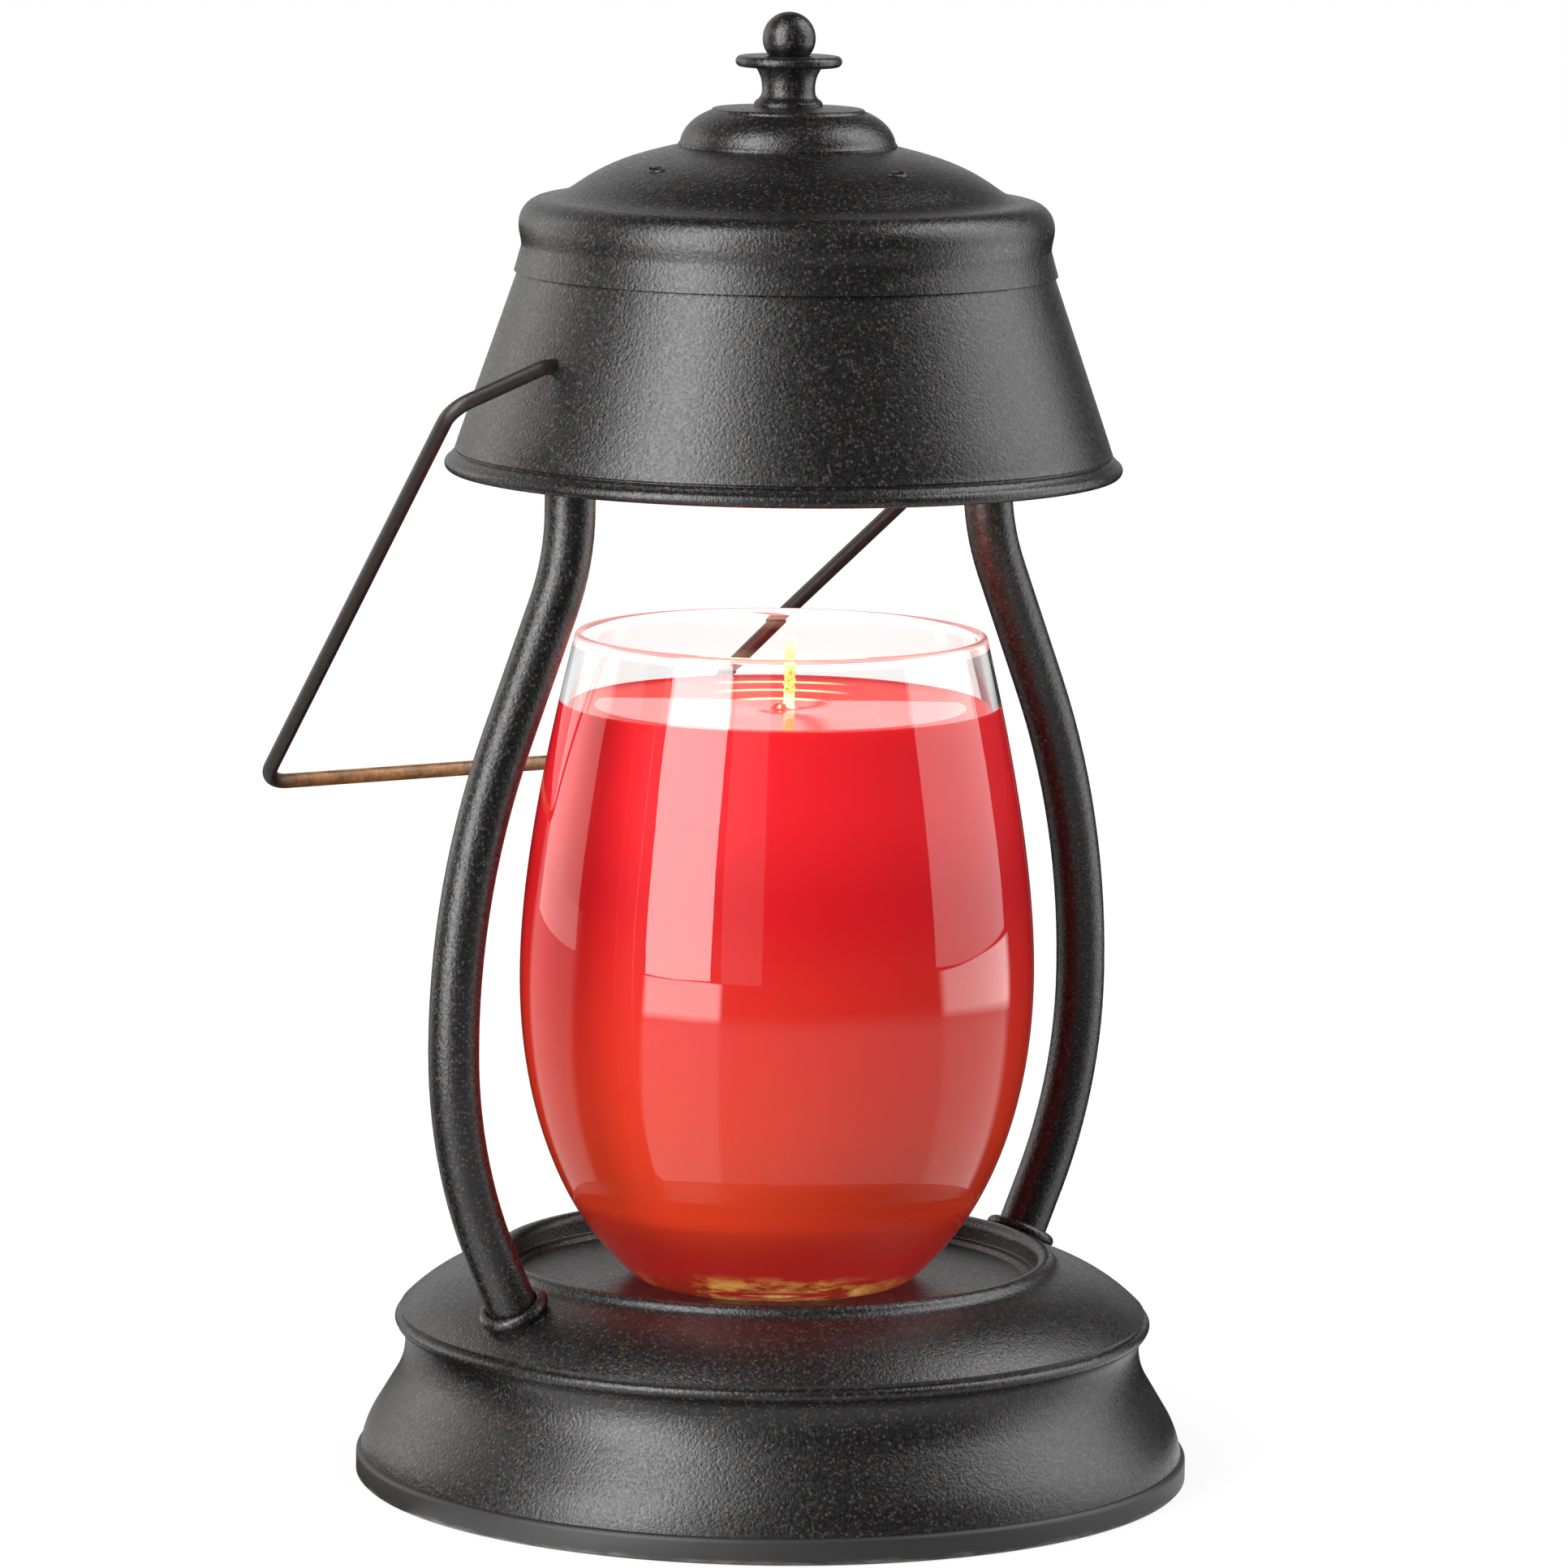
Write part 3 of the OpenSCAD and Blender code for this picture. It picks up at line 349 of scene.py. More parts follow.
# Scuffs 2 to 8 mm long, stretched round the ring by squeezing the pattern's height
rubbed = add(tree, "ShaderNodeMapping", {"Vector": at, "Scale": (130, 130, 900)})
scuff = add(
    tree, "ShaderNodeTexNoise",
    {"Vector": rubbed.outputs[0], "Scale": 1.0, "Detail": 5, "Roughness": 0.7},
)
foot = add(tree, "ShaderNodeMapRange", {"Value": height, "From Min": 0.0032, "From Max": 0.0004})
worn = add(
    tree, "ShaderNodeMath", {0: scuff.outputs["Fac"], 1: foot.outputs[0]}, operation="MULTIPLY"
)
marks = add(
    tree, "ShaderNodeMapRange", {"Value": worn.outputs[0], "From Min": 0.38, "From Max": 0.62}
)
shade = add(
    tree, "ShaderNodeMix",
    {0: marks.outputs[0], 6: colour("#201f1f"), 7: colour("#5d5852")}, data_type="RGBA",
)
tree.links.new(shade.outputs[2], skin.inputs["Base Color"])
skin.inputs["Roughness"].default_value = 0.5
skin.inputs["IOR"].default_value = 1.53
grain = add(tree, "ShaderNodeTexNoise", {"Vector": at, "Scale": 1 / 0.0009, "Detail": 3})
bump = add(
    tree, "ShaderNodeBump", {"Height": grain.outputs["Fac"], "Strength": 0.25, "Distance": 0.0001}
)
tree.links.new(bump.outputs[0], skin.inputs["Normal"])
dress(abs_black, "base_ring")

# ---- Underside ----
# A zinc-plated steel cover closes the base from below, held by four cross-head screws, with a
# pad of pressed wool felt on it that keeps the lamp from sliding.
zinc, tree, skin, at = finish("zinc-plated steel")
spangle = add(tree, "ShaderNodeTexVoronoi", {"Vector": at, "Scale": 1 / 0.006})
tone = add(
    tree, "ShaderNodeMix",
    {0: spangle.outputs["Color"], 6: colour("#a9acae"), 7: colour("#c3c6c7")}, data_type="RGBA",
)
tree.links.new(tone.outputs[2], skin.inputs["Base Color"])
skin.inputs["Metallic"].default_value = 1.0
hazed = add(tree, "ShaderNodeTexNoise", {"Vector": at, "Scale": 1 / 0.004, "Detail": 4})
dull = add(
    tree, "ShaderNodeMapRange", {"Value": hazed.outputs["Fac"], "To Min": 0.28, "To Max": 0.46}
)
tree.links.new(dull.outputs[0], skin.inputs["Roughness"])
dress(zinc, "bottom_cover")

wool_felt, tree, skin, at = finish("pressed wool felt")
# Fibres are about 0.03 mm thick; they are drawn 0.5 mm wide so that the fuzz shows
fuzz = add(
    tree, "ShaderNodeTexNoise", {"Vector": at, "Scale": 1 / 0.0005, "Detail": 6, "Distortion": 1.5}
)
felted = add(
    tree, "ShaderNodeMix",
    {0: fuzz.outputs["Fac"], 6: colour("#141414"), 7: colour("#3a3938")}, data_type="RGBA",
)
tree.links.new(felted.outputs[2], skin.inputs["Base Color"])
skin.inputs["Roughness"].default_value = 0.95
skin.inputs["Sheen Weight"].default_value = 0.5
bump = add(
    tree, "ShaderNodeBump", {"Height": fuzz.outputs["Fac"], "Strength": 0.7, "Distance": 0.0003}
)
tree.links.new(bump.outputs[0], skin.inputs["Normal"])


def piece(name, form, material, body="stand", crease=32):
    """Makes an object from a finished form, smooth but for its edges, riding on a body."""
    mesh = bpy.data.meshes.new(name)
    bmesh.ops.recalc_face_normals(form, faces=form.faces)
    form.to_mesh(mesh)
    form.free()
    mesh.polygons.foreach_set("use_smooth", [True] * len(mesh.polygons))
    mesh.set_sharp_from_angle(angle=math.radians(crease))
    mesh.materials.append(material)
    o = bpy.data.objects.new(name, mesh)
    scene.collection.objects.link(o)
    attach(o, body)
    return o


def spun(outline, steps=160, closed=True):
    """A form turned from an outline of (radius, height) in mm; points on the axis close it."""
    form = bmesh.new()
    rows = []
    for r, z in outline:
        if abs(r) < 1e-6:
            rows.append([form.verts.new((0, 0, z / 1000))])
        else:
            rows.append([
                form.verts.new((r * math.cos(a) / 1000, r * math.sin(a) / 1000, z / 1000))
                for a in (2 * math.pi * i / steps for i in range(steps))
            ])
    pairs = list(zip(rows, rows[1:])) + ([(rows[-1], rows[0])] if closed else [])
    for low, high in pairs:
        if len(low) == 1 and len(high) == 1:
            continue
        for i in range(steps):
            j = (i + 1) % steps
            corners = [low[0]] if len(low) == 1 else [low[i], low[j]]
            corners += [high[0]] if len(high) == 1 else [high[j], high[i]]
            form.faces.new(corners)
    return form


# The felt's cut edge is rounded. Its face stops 0.05 mm above the table
pad_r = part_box("felt_pad")[1].x * 1000
pad_edge = [(1.2, 0.05), (0.3, 0.35), (0, 0.8), (0.2, 1.3), (0.8, 1.5)]
form = spun([(0, 0.05)] + [(pad_r - into, z) for into, z in pad_edge] + [(0, 1.5)])
felt = piece("felt", form, wool_felt, crease=80)
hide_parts("felt_pad")

plated, tree, skin, at = finish("zinc-plated screw steel")
tint = add(tree, "ShaderNodeTexNoise", {"Vector": at, "Scale": 1 / 0.002, "Detail": 3})
tone = add(
    tree, "ShaderNodeMix",
    {0: tint.outputs["Fac"], 6: colour("#9b9c9a"), 7: colour("#c9c8c2")}, data_type="RGBA",
)
tree.links.new(tone.outputs[2], skin.inputs["Base Color"])
skin.inputs["Metallic"].default_value = 1.0
skin.inputs["Roughness"].default_value = 0.3


def screw_form(r, head_r, head_h, length):
    """A pan-head screw that points up from z = 0, its head below, in mm, with a cross recess."""
    top = -head_h
    side_h = 0.35 * head_h
    outline = [(0, length), (r * 0.6, length), (r, length - 0.8), (r, 0)]
    outline += [(head_r, 0), (head_r, -side_h)]
    for a in (math.radians(20), math.radians(40), math.radians(60)):
        outline.append((head_r * math.cos(a), -side_h - 0.65 * head_h * math.sin(a)))
    outline += [(head_r * 0.32, top), (0, top)]
    form = spun(outline, steps=48, closed=False)
    for quarter in (0, math.pi / 2):
        arm = bmesh.ops.create_cube(form, size=1)["verts"]
        slot_size = Vector((head_r * 1.05, head_r * 0.24, 0.12)) / 1000
        bmesh.ops.scale(form, vec=slot_size, verts=arm)
        bmesh.ops.rotate(form, matrix=Matrix.Rotation(quarter, 3, "Z"), verts=arm)
        bmesh.ops.translate(form, vec=(0, 0, (top - 0.01) / 1000), verts=arm)
    return form


# The faces of each cross recess get a dark material: painted shade standing for the shadow in the
# recess, with a faint mottle
painted_recess_shade, tree, skin, at = finish("shadowed screw recess")
recess_shade_mottle = add(tree, "ShaderNodeTexNoise", {"Vector": at, "Scale": 1 / 0.0005, "Detail": 2})
tone = add(
    tree, "ShaderNodeMix",
    {0: recess_shade_mottle.outputs["Fac"], 6: colour("#1b1b1a"), 7: colour("#3a3937")}, data_type="RGBA",
)
tree.links.new(tone.outputs[2], skin.inputs["Base Color"])
skin.inputs["Roughness"].default_value = 0.7


def fit_screw(name, node, box, r, head_r, head_h, head_room, upright=True):
    """Puts a cross-head screw in the place of a CAD screw with the given box.

    Sizes are in mm. The head's foot is head_room in from the CAD screw's own head end.
    """
    low, high = (corner * 1000 for corner in box)
    form = screw_form(r, head_r, head_h, high.z - low.z - head_room)
    foot = low.z + head_room if upright else high.z - head_room
    spot = Vector(((low.x + high.x) / 2, (low.y + high.y) / 2, foot)) / 1000
    flip = Matrix.Identity(4) if upright else Matrix.Rotation(math.pi, 4, "X")
    bmesh.ops.transform(form, matrix=Matrix.Translation(spot) @ flip, verts=form.verts)
    o = piece(name, form, plated)
    o.data.materials.append(painted_recess_shade)
    # The faces of the cross recess get the painted shade
    up = 1 if upright else -1
    for f in o.data.polygons:
        if f.center.z * up < spot.z * up - (head_h + 0.005) / 1000:
            f.material_index = 1
    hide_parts(node)


for i in range(4):
    fit_screw(
        f"cover_screw_head_{i + 1}", f"cover_screw_{i + 1}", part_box(f"cover_screw_{i + 1}"),
        r=1.5, head_r=2.8, head_h=1.1, head_room=1.2,
    )

# ---- Ballast ----
# A cast-iron ring, rough from the sand, that lies on the bottom cover inside the floor ring and
# keeps the lamp from tipping.
cast, tree, skin, at = finish("sand-cast iron")
sand = add(
    tree, "ShaderNodeTexNoise", {"Vector": at, "Scale": 1 / 0.0015, "Detail": 6, "Roughness": 0.7}
)
tone = add(
    tree, "ShaderNodeMix",
    {0: sand.outputs["Fac"], 6: colour("#3b3a39"), 7: colour("#6a6561")}, data_type="RGBA",
)
tree.links.new(tone.outputs[2], skin.inputs["Base Color"])
skin.inputs["Metallic"].default_value = 0.8
skin.inputs["Roughness"].default_value = 0.65
bump = add(
    tree, "ShaderNodeBump", {"Height": sand.outputs["Fac"], "Strength": 0.6, "Distance": 0.0005}
)
tree.links.new(bump.outputs[0], skin.inputs["Normal"])
dress(cast, "ballast_weight")

# ---- Base skirt and pan ----
# Both are spun from sheet steel and powder coated black. The baked powder is satin, with a fine
# orange-peel skin and flecks of brown and blue-grey in it that sparkle under the soft boxes.
powder, tree, skin, at = finish("black powder coat")
# Powder grains melt to about 0.1 mm; flecks and skin are drawn 0.7 mm wide so that they show
flecks = add(tree, "ShaderNodeTexVoronoi", {"Vector": at, "Scale": 1 / 0.0007})
fleck_hue = add(tree, "ShaderNodeSeparateColor", {0: flecks.outputs["Color"]})
near = add(
    tree, "ShaderNodeMapRange",
    {"Value": flecks.outputs["Distance"], "From Min": 0.6, "From Max": 0.2},
)
rare = add(
    tree, "ShaderNodeMapRange", {"Value": fleck_hue.outputs[0], "From Min": 0.5, "From Max": 1.15}
)
strength = add(
    tree, "ShaderNodeMath", {0: near.outputs[0], 1: rare.outputs[0]}, operation="MULTIPLY"
)
tints = add(
    tree, "ShaderNodeMix",
    {0: fleck_hue.outputs[1], 6: colour("#5c4536"), 7: colour("#414a57")}, data_type="RGBA",
)
cloud = add(tree, "ShaderNodeTexNoise", {"Vector": at, "Scale": 1 / 0.012, "Detail": 3})
ground = add(
    tree, "ShaderNodeMix",
    {0: cloud.outputs["Fac"], 6: colour("#0d0c0c"), 7: colour("#131212")}, data_type="RGBA",
)
speckled = add(
    tree, "ShaderNodeMix",
    {0: strength.outputs[0], 6: ground.outputs[2], 7: tints.outputs[2]}, data_type="RGBA",
)
tree.links.new(speckled.outputs[2], skin.inputs["Base Color"])
peel = add(
    tree, "ShaderNodeTexNoise", {"Vector": at, "Scale": 1 / 0.0007, "Detail": 2, "Roughness": 0.65}
)
dull = add(
    tree, "ShaderNodeMapRange",
    {
        "Value": peel.outputs["Fac"],
        "From Min": 0.3, "From Max": 0.7, "To Min": 0.22, "To Max": 0.44,
    },
)
tree.links.new(dull.outputs[0], skin.inputs["Roughness"])
skin.inputs["IOR"].default_value = 1.55
bump = add(
    tree, "ShaderNodeBump", {"Height": peel.outputs["Fac"], "Strength": 1.0, "Distance": 0.00014}
)
tree.links.new(bump.outputs[0], skin.inputs["Normal"])
dress(powder, "base_skirt", "base_pan")

# ---- Cord inlet ----
# A grommet of black rubber, pressed into the hole at the back of the skirt. A mains cord would go
# through it.
nitrile, tree, skin, at = finish("black nitrile rubber")
bloom = add(tree, "ShaderNodeTexNoise", {"Vector": at, "Scale": 1 / 0.0012, "Detail": 4})
tone = add(
    tree, "ShaderNodeMix",
    {0: bloom.outputs["Fac"], 6: colour("#171717"), 7: colour("#2c2b2a")}, data_type="RGBA",
)
tree.links.new(tone.outputs[2], skin.inputs["Base Color"])
skin.inputs["Roughness"].default_value = 0.62
bump = add(
    tree, "ShaderNodeBump", {"Height": bloom.outputs["Fac"], "Strength": 0.2, "Distance": 0.0001}
)
tree.links.new(bump.outputs[0], skin.inputs["Normal"])
dress(nitrile, "cord_grommet")

# ---- Arms ----
# Two lengths of 10.4 mm steel tube, bent to a bow and powder coated like the base. Each stands in
# a flared collar on the pan's shoulder, and a bolt from below holds it there.
dress(powder, "left_arm", "right_arm", "left_foot_collar", "right_foot_collar")
dress(zinc, "left_foot_washer", "right_foot_washer", "left_foot_bolt", "right_foot_bolt")

# ---- Bridge and lamp holder ----
# A strip of plated steel, folded to cross the shade from arm to arm, and screwed to the arms. It
# carries a holder of glazed steatite, white ceramic that stands the heat of the lamp.
dress(zinc, "lamp_bridge")
for side in ("left", "right"):
    fit_screw(
        f"{side}_bridge_screw_head", f"{side}_bridge_screw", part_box(f"{side}_bridge_screw"),
        r=2.0, head_r=3.8, head_h=2.3, head_room=2.4, upright=False,
    )
    fit_screw(
        f"{side}_holder_screw_head", f"{side}_holder_screw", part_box(f"{side}_holder_screw"),
        r=1.5, head_r=2.7, head_h=1.8, head_room=1.9,
    )

steatite, tree, skin, at = finish("glazed steatite ceramic")
mottle = add(tree, "ShaderNodeTexNoise", {"Vector": at, "Scale": 1 / 0.003, "Detail": 5})
tone = add(
    tree, "ShaderNodeMix",
    {0: mottle.outputs["Fac"], 6: colour("#ddd8cb"), 7: colour("#ebe8e0")}, data_type="RGBA",
)
tree.links.new(tone.outputs[2], skin.inputs["Base Color"])
skin.inputs["Roughness"].default_value = 0.32
skin.inputs["IOR"].default_value = 1.6
bump = add(
    tree, "ShaderNodeBump", {"Height": mottle.outputs["Fac"], "Strength": 0.15, "Distance": 0.0001}
)
tree.links.new(bump.outputs[0], skin.inputs["Normal"])
dress(steatite, "lamp_holder")

# ---- Shade ----
# A cone and a roof, both spun from sheet steel and powder coated. The cone's rim is rolled, with a
# fine groove turned above it, and the roof's edge sits over the cone's top with a thin dark seam.


def arc(centre, r, start, end, steps=12):
    """Points along a circle, in mm and degrees."""
    out = []
    for i in range(steps + 1):
        a = math.radians(start + (end - start) * i / steps)
        out.append((centre[0] + r * math.cos(a), centre[1] + r * math.sin(a)))
    return out


def curve(p0, p1, p2, p3, steps=12):
    """Points along a cubic curve."""
    out = []
    for i in range(steps + 1):
        t = i / steps
        u = 1 - t
        w = (u * u * u, 3 * u * u * t, 3 * u * t * t, t * t * t)
        out.append(tuple(sum(k * p[n] for k, p in zip(w, (p0, p1, p2, p3))) for n in (0, 1)))
    return out


def inside(line, t):
    """The line moved t mm to its left, which is the inside of a wall drawn upwards."""
    out = []
    for i, (x, y) in enumerate(line):
        ax, ay = line[max(i - 1, 0)]
        bx, by = line[min(i + 1, len(line) - 1)]
        d = math.hypot(bx - ax, by - ay) or 1
        out.append((x - t * (by - ay) / d, y + t * (bx - ax) / d))
    return out


# The rolled rim, the flare above it, the straight wall, and the ledge that the roof stands on
rim_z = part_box("shade_cone")[0].z * 1000
sheet_t, rim_r, roll_r = 0.6, 69.1, 1.4
rolled_z, groove_z, foot_z, cone_top = rim_z + 3.4, rim_z + 4.0, rim_z + 6.5, rim_z + 45.5
foot_r = 67.7
slope = math.tan(math.radians(19))
rolled = arc((rim_r, rim_z + roll_r), roll_r, -215, 50, 24)
flare = curve(rolled[-1], (68.65, rolled_z), (68.0, foot_z - 1.2), (foot_r, foot_z), 60)[1:]
wall_z = [foot_z + 6, foot_z + 14, foot_z + 22, foot_z + 30, cone_top]
cone_out = rolled + flare + [(foot_r - (z - foot_z) * slope, z) for z in wall_z]
cone_in = [p for p in inside(cone_out, sheet_t) if p[1] > rolled_z]
groove_d, groove_w = 0.5, 0.3
cone_out = [(r - groove_d * math.exp(-(((z - groove_z) / groove_w) ** 2)), z) for r, z in cone_out]
head_r, head_z = cone_in[-1]
ledge_r = head_r - 4.4
ledge = [(ledge_r, cone_top), (ledge_r, cone_top - sheet_t), (head_r, head_z - sheet_t)]
form = spun(cone_out + ledge + cone_in[-2::-1], 192)
cone = piece("shade_cone_spun", form, powder, crease=50)
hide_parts("shade_cone")
dress(powder, "shade_roof", "chimney_cap", "finial_spool", "finial_disc", "finial_ball")
dress(zinc, "roof_sleeve", "finial_stud")


def tube(points, radius, steps=12, closed=False):
    """A round form swept along points, in mm, with flat ends unless it closes on itself."""
    form = bmesh.new()
    rings = []
    n = len(points)
    up = Vector((0.3, 0.5, 1))
    for i, p in enumerate(points):
        p = Vector(p)
        ahead_p = points[(i + 1) % n] if closed else points[min(i + 1, n - 1)]
        behind_p = points[i - 1] if closed else points[max(i - 1, 0)]
        d = (Vector(ahead_p) - Vector(behind_p)).normalized()
        if closed:
            up = Vector((0, 0, 1))
        up = (up - up.dot(d) * d).normalized()
        side = d.cross(up)
        r = radius(i / (n - 1)) if callable(radius) else radius
        rings.append([
            form.verts.new((p + r * (math.cos(a) * up + math.sin(a) * side)) / 1000)
            for a in (2 * math.pi * k / steps for k in range(steps))
        ])
    for low, high in zip(rings, rings[1:] + rings[:1] if closed else rings[1:]):
        for k in range(steps):
            form.faces.new([low[k], low[(k + 1) % steps], high[(k + 1) % steps], high[k]])
    if not closed:
        form.faces.new(rings[0][::-1])
        form.faces.new(rings[-1])
    return form


# Each vent is pierced upwards, which leaves a lip round it, thickest on its outer side
roof = shown["shade_roof"]
vent_r, vent_half_w, vent_half_l = 35, 1.1, 2.3


def roof_z(r, degrees):
    """Height of the roof's skin, in mm, found from above."""
    a = math.radians(degrees)
    down = roof.matrix_world.inverted()
    start = down @ Vector((r * math.cos(a) / 1000, r * math.sin(a) / 1000, 0.4))
    hit, point, _, _ = roof.ray_cast(start, down.to_3x3() @ Vector((0, 0, -1)))
    return (roof.matrix_world @ point).z * 1000 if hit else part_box("shade_roof")[1].z * 1000


def lip_r(t):
    """Radius of a vent's lip at a share of the way round it, in mm."""
    return 0.24 + 0.12 * math.sin(2 * math.pi * t)


for i in range(4):
    turned = Matrix.Rotation(math.radians(90 * i), 3, "Z")
    ring = []
    for k in range(28):
        a = 2 * math.pi * k / 28
        r = vent_r + vent_half_w * math.sin(a) * abs(math.sin(a)) ** 0.3
        ring.append(turned @ Vector((r, vent_half_l * math.cos(a), roof_z(r, 45) + 0.03)))
    lip_piece = piece(f"vent_lip_{i + 1}", tube(ring, lip_r, 10, closed=True), powder)

# ---- Bail ----
# One length of 3.2 mm spring wire, bent to a loop that springs into a hole at each side of the
# shade. Hands have rubbed its dark brown coat along the crossbar to a coppery shine.
bail_coat, tree, skin, at = finish("rubbed brown-black coat on spring wire")
xyz = add(tree, "ShaderNodeSeparateXYZ", {0: at})
across_bar = add(tree, "ShaderNodeMath", {0: xyz.outputs["X"]}, operation="ABSOLUTE")
on_bar = add(
    tree, "ShaderNodeMapRange",
    {"Value": across_bar.outputs[0], "From Min": 0.052, "From Max": 0.040},
)
low_down = add(
    tree, "ShaderNodeMapRange", {"Value": xyz.outputs["Z"], "From Min": 0.150, "From Max": 0.141}
)
handled = add(
    tree, "ShaderNodeMath", {0: on_bar.outputs[0], 1: low_down.outputs[0]}, operation="MULTIPLY"
)
patchy = add(
    tree, "ShaderNodeTexNoise", {"Vector": at, "Scale": 1 / 0.0045, "Detail": 4, "Roughness": 0.75}
)
rub = add(
    tree, "ShaderNodeMapRange", {"Value": patchy.outputs["Fac"], "From Min": 0.25, "From Max": 0.62}
)
bare = add(tree, "ShaderNodeMath", {0: rub.outputs[0], 1: handled.outputs[0]}, operation="MULTIPLY")
grit = add(tree, "ShaderNodeTexNoise", {"Vector": at, "Scale": 1 / 0.0006, "Detail": 2})
worn = add(
    tree, "ShaderNodeMix",
    {0: grit.outputs["Fac"], 6: colour("#5a3a20"), 7: colour("#bd8a50")}, data_type="RGBA",
)
coated = add(
    tree, "ShaderNodeMix",
    {0: grit.outputs["Fac"], 6: colour("#1a1513"), 7: colour("#2e2623")}, data_type="RGBA",
)
tone = add(
    tree, "ShaderNodeMix",
    {0: bare.outputs[0], 6: coated.outputs[2], 7: worn.outputs[2]}, data_type="RGBA",
)
tree.links.new(tone.outputs[2], skin.inputs["Base Color"])
shine = add(tree, "ShaderNodeMapRange", {"Value": bare.outputs[0], "To Min": 0.42, "To Max": 0.30})
tree.links.new(shine.outputs[0], skin.inputs["Roughness"])
bump = add(
    tree, "ShaderNodeBump", {"Height": grit.outputs["Fac"], "Strength": 0.4, "Distance": 0.0002}
)
tree.links.new(bump.outputs[0], skin.inputs["Normal"])


def bent(corners, radii, steps=10):
    """Points along straight lines whose corners are rounded to the given radii, in mm."""
    out = [Vector(corners[0])]
    for a, b, c, r in zip(corners, corners[1:], corners[2:], radii):
        a, b, c = Vector(a), Vector(b), Vector(c)
        u, v = (a - b).normalized(), (c - b).normalized()
        half = u.angle(v) / 2
        centre = b + (u + v).normalized() * r / math.sin(half)
        start, end = b + u * r / math.tan(half) - centre, b + v * r / math.tan(half) - centre
        for i in range(steps + 1):
            out.append(centre + r * start.slerp(end, i / steps))
    out.append(Vector(corners[-1]))
    return out


def evenly(points, gap):
    """Adds points along the straights, so that a swept form has even faces."""
    out = [points[0]]
    for a, b in zip(points, points[1:]):
        n = max(1, round((b - a).length / gap))
        out += [a.lerp(b, (i + 1) / n) for i in range(n)]
    return out


pivot_z, wire_r = 237.127, 1.6
hang = math.radians(48)
# In the loop's own plane each half starts inside the shade, goes out through its wall and turns at
# a shoulder. The wire is sprung a little out of true: its right corner hangs lower than its left
half_loop = [(56.49, 0), (63.73, 0), (80.2, 12.7)]
flat = half_loop + [(-x, y) for x, y in reversed(half_loop)]
loop = [(x, y * math.sin(hang), pivot_z - y * math.cos(hang)) for x, y in flat]
loop[3:3] = [(48.9, 109.2, 135.6), (-53.0, 109.4, 138.1)]
path = evenly(bent(loop, radii=[3, 7, 8, 8, 7, 3]), gap=2.5)
bail = piece("bail_wire", tube(path, wire_r, 20), bail_coat, "bail", crease=60)
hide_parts("bail_handle")

# ---- Reflector lamp ----
# A 50 mm halogen reflector lamp: a pressed glass bowl coated with aluminium on the inside, a clear
# lens over it, a quartz capsule in the middle, and two plated pins that twist into the holder.
mirror, tree, skin, at = finish("aluminised pressed glass")
facet = add(tree, "ShaderNodeTexVoronoi", {"Vector": at, "Scale": 1 / 0.004})
tone = add(
    tree, "ShaderNodeMix",
    {0: facet.outputs["Distance"], 6: colour("#e9e7e2"), 7: colour("#c8c9cc")}, data_type="RGBA",
)
tree.links.new(tone.outputs[2], skin.inputs["Base Color"])
skin.inputs["Metallic"].default_value = 1.0
skin.inputs["Roughness"].default_value = 0.12
bump = add(
    tree, "ShaderNodeBump",
    {"Height": facet.outputs["Distance"], "Strength": 0.4, "Distance": 0.0005},
)
tree.links.new(bump.outputs[0], skin.inputs["Normal"])
dress(mirror, "lamp_reflector")


def show_instead(tree, shader):
    """Makes a material show a shader in place of its plain skin."""
    end = [n for n in tree.nodes if n.type == "OUTPUT_MATERIAL"][0]
    tree.links.new(shader.outputs[0], end.inputs["Surface"])


def clear_glass(name, tint, ior, rough=0.0):
    """Glass that lets the lamps' light through to what is inside it."""
    m, tree, skin, at = finish(name)
    skin.inputs["Base Color"].default_value = colour(tint)
    skin.inputs["Transmission Weight"].default_value = 1.0
    skin.inputs["IOR"].default_value = ior
    skin.inputs["Roughness"].default_value = rough
    path = add(tree, "ShaderNodeLightPath")
    open_air = add(tree, "ShaderNodeBsdfTransparent", {"Color": colour(tint)})
    through = add(
        tree, "ShaderNodeMath",
        {0: path.outputs["Is Shadow Ray"], 1: path.outputs["Is Diffuse Ray"]}, operation="MAXIMUM",
    )
    pick = add(
        tree, "ShaderNodeMixShader",
        {0: through.outputs[0], 1: skin.outputs[0], 2: open_air.outputs[0]},
    )
    show_instead(tree, pick)
    return m, tree, skin, at


lens, tree, skin, at = clear_glass("pressed lens glass", "#f6f8f8", 1.52, 0.05)
skin.inputs["Emission Color"].default_value = colour("#ffd890")
skin.inputs["Emission Strength"].default_value = 10.0
pips = add(tree, "ShaderNodeTexVoronoi", {"Vector": at, "Scale": 1 / 0.0018})
bump = add(
    tree, "ShaderNodeBump",
    {"Height": pips.outputs["Distance"], "Strength": 0.5, "Distance": 0.0004},
)
tree.links.new(bump.outputs[0], skin.inputs["Normal"])
dress(lens, "lamp_lens")

quartz, tree, skin, at = clear_glass("fused quartz", "#fbfbf8", 1.46)
ripple = add(tree, "ShaderNodeTexNoise", {"Vector": at, "Scale": 1 / 0.003})
bump = add(
    tree, "ShaderNodeBump", {"Height": ripple.outputs["Fac"], "Strength": 0.1, "Distance": 0.0003}
)
tree.links.new(bump.outputs[0], skin.inputs["Normal"])
dress(quartz, "lamp_capsule")
dress(steatite, "lamp_base")

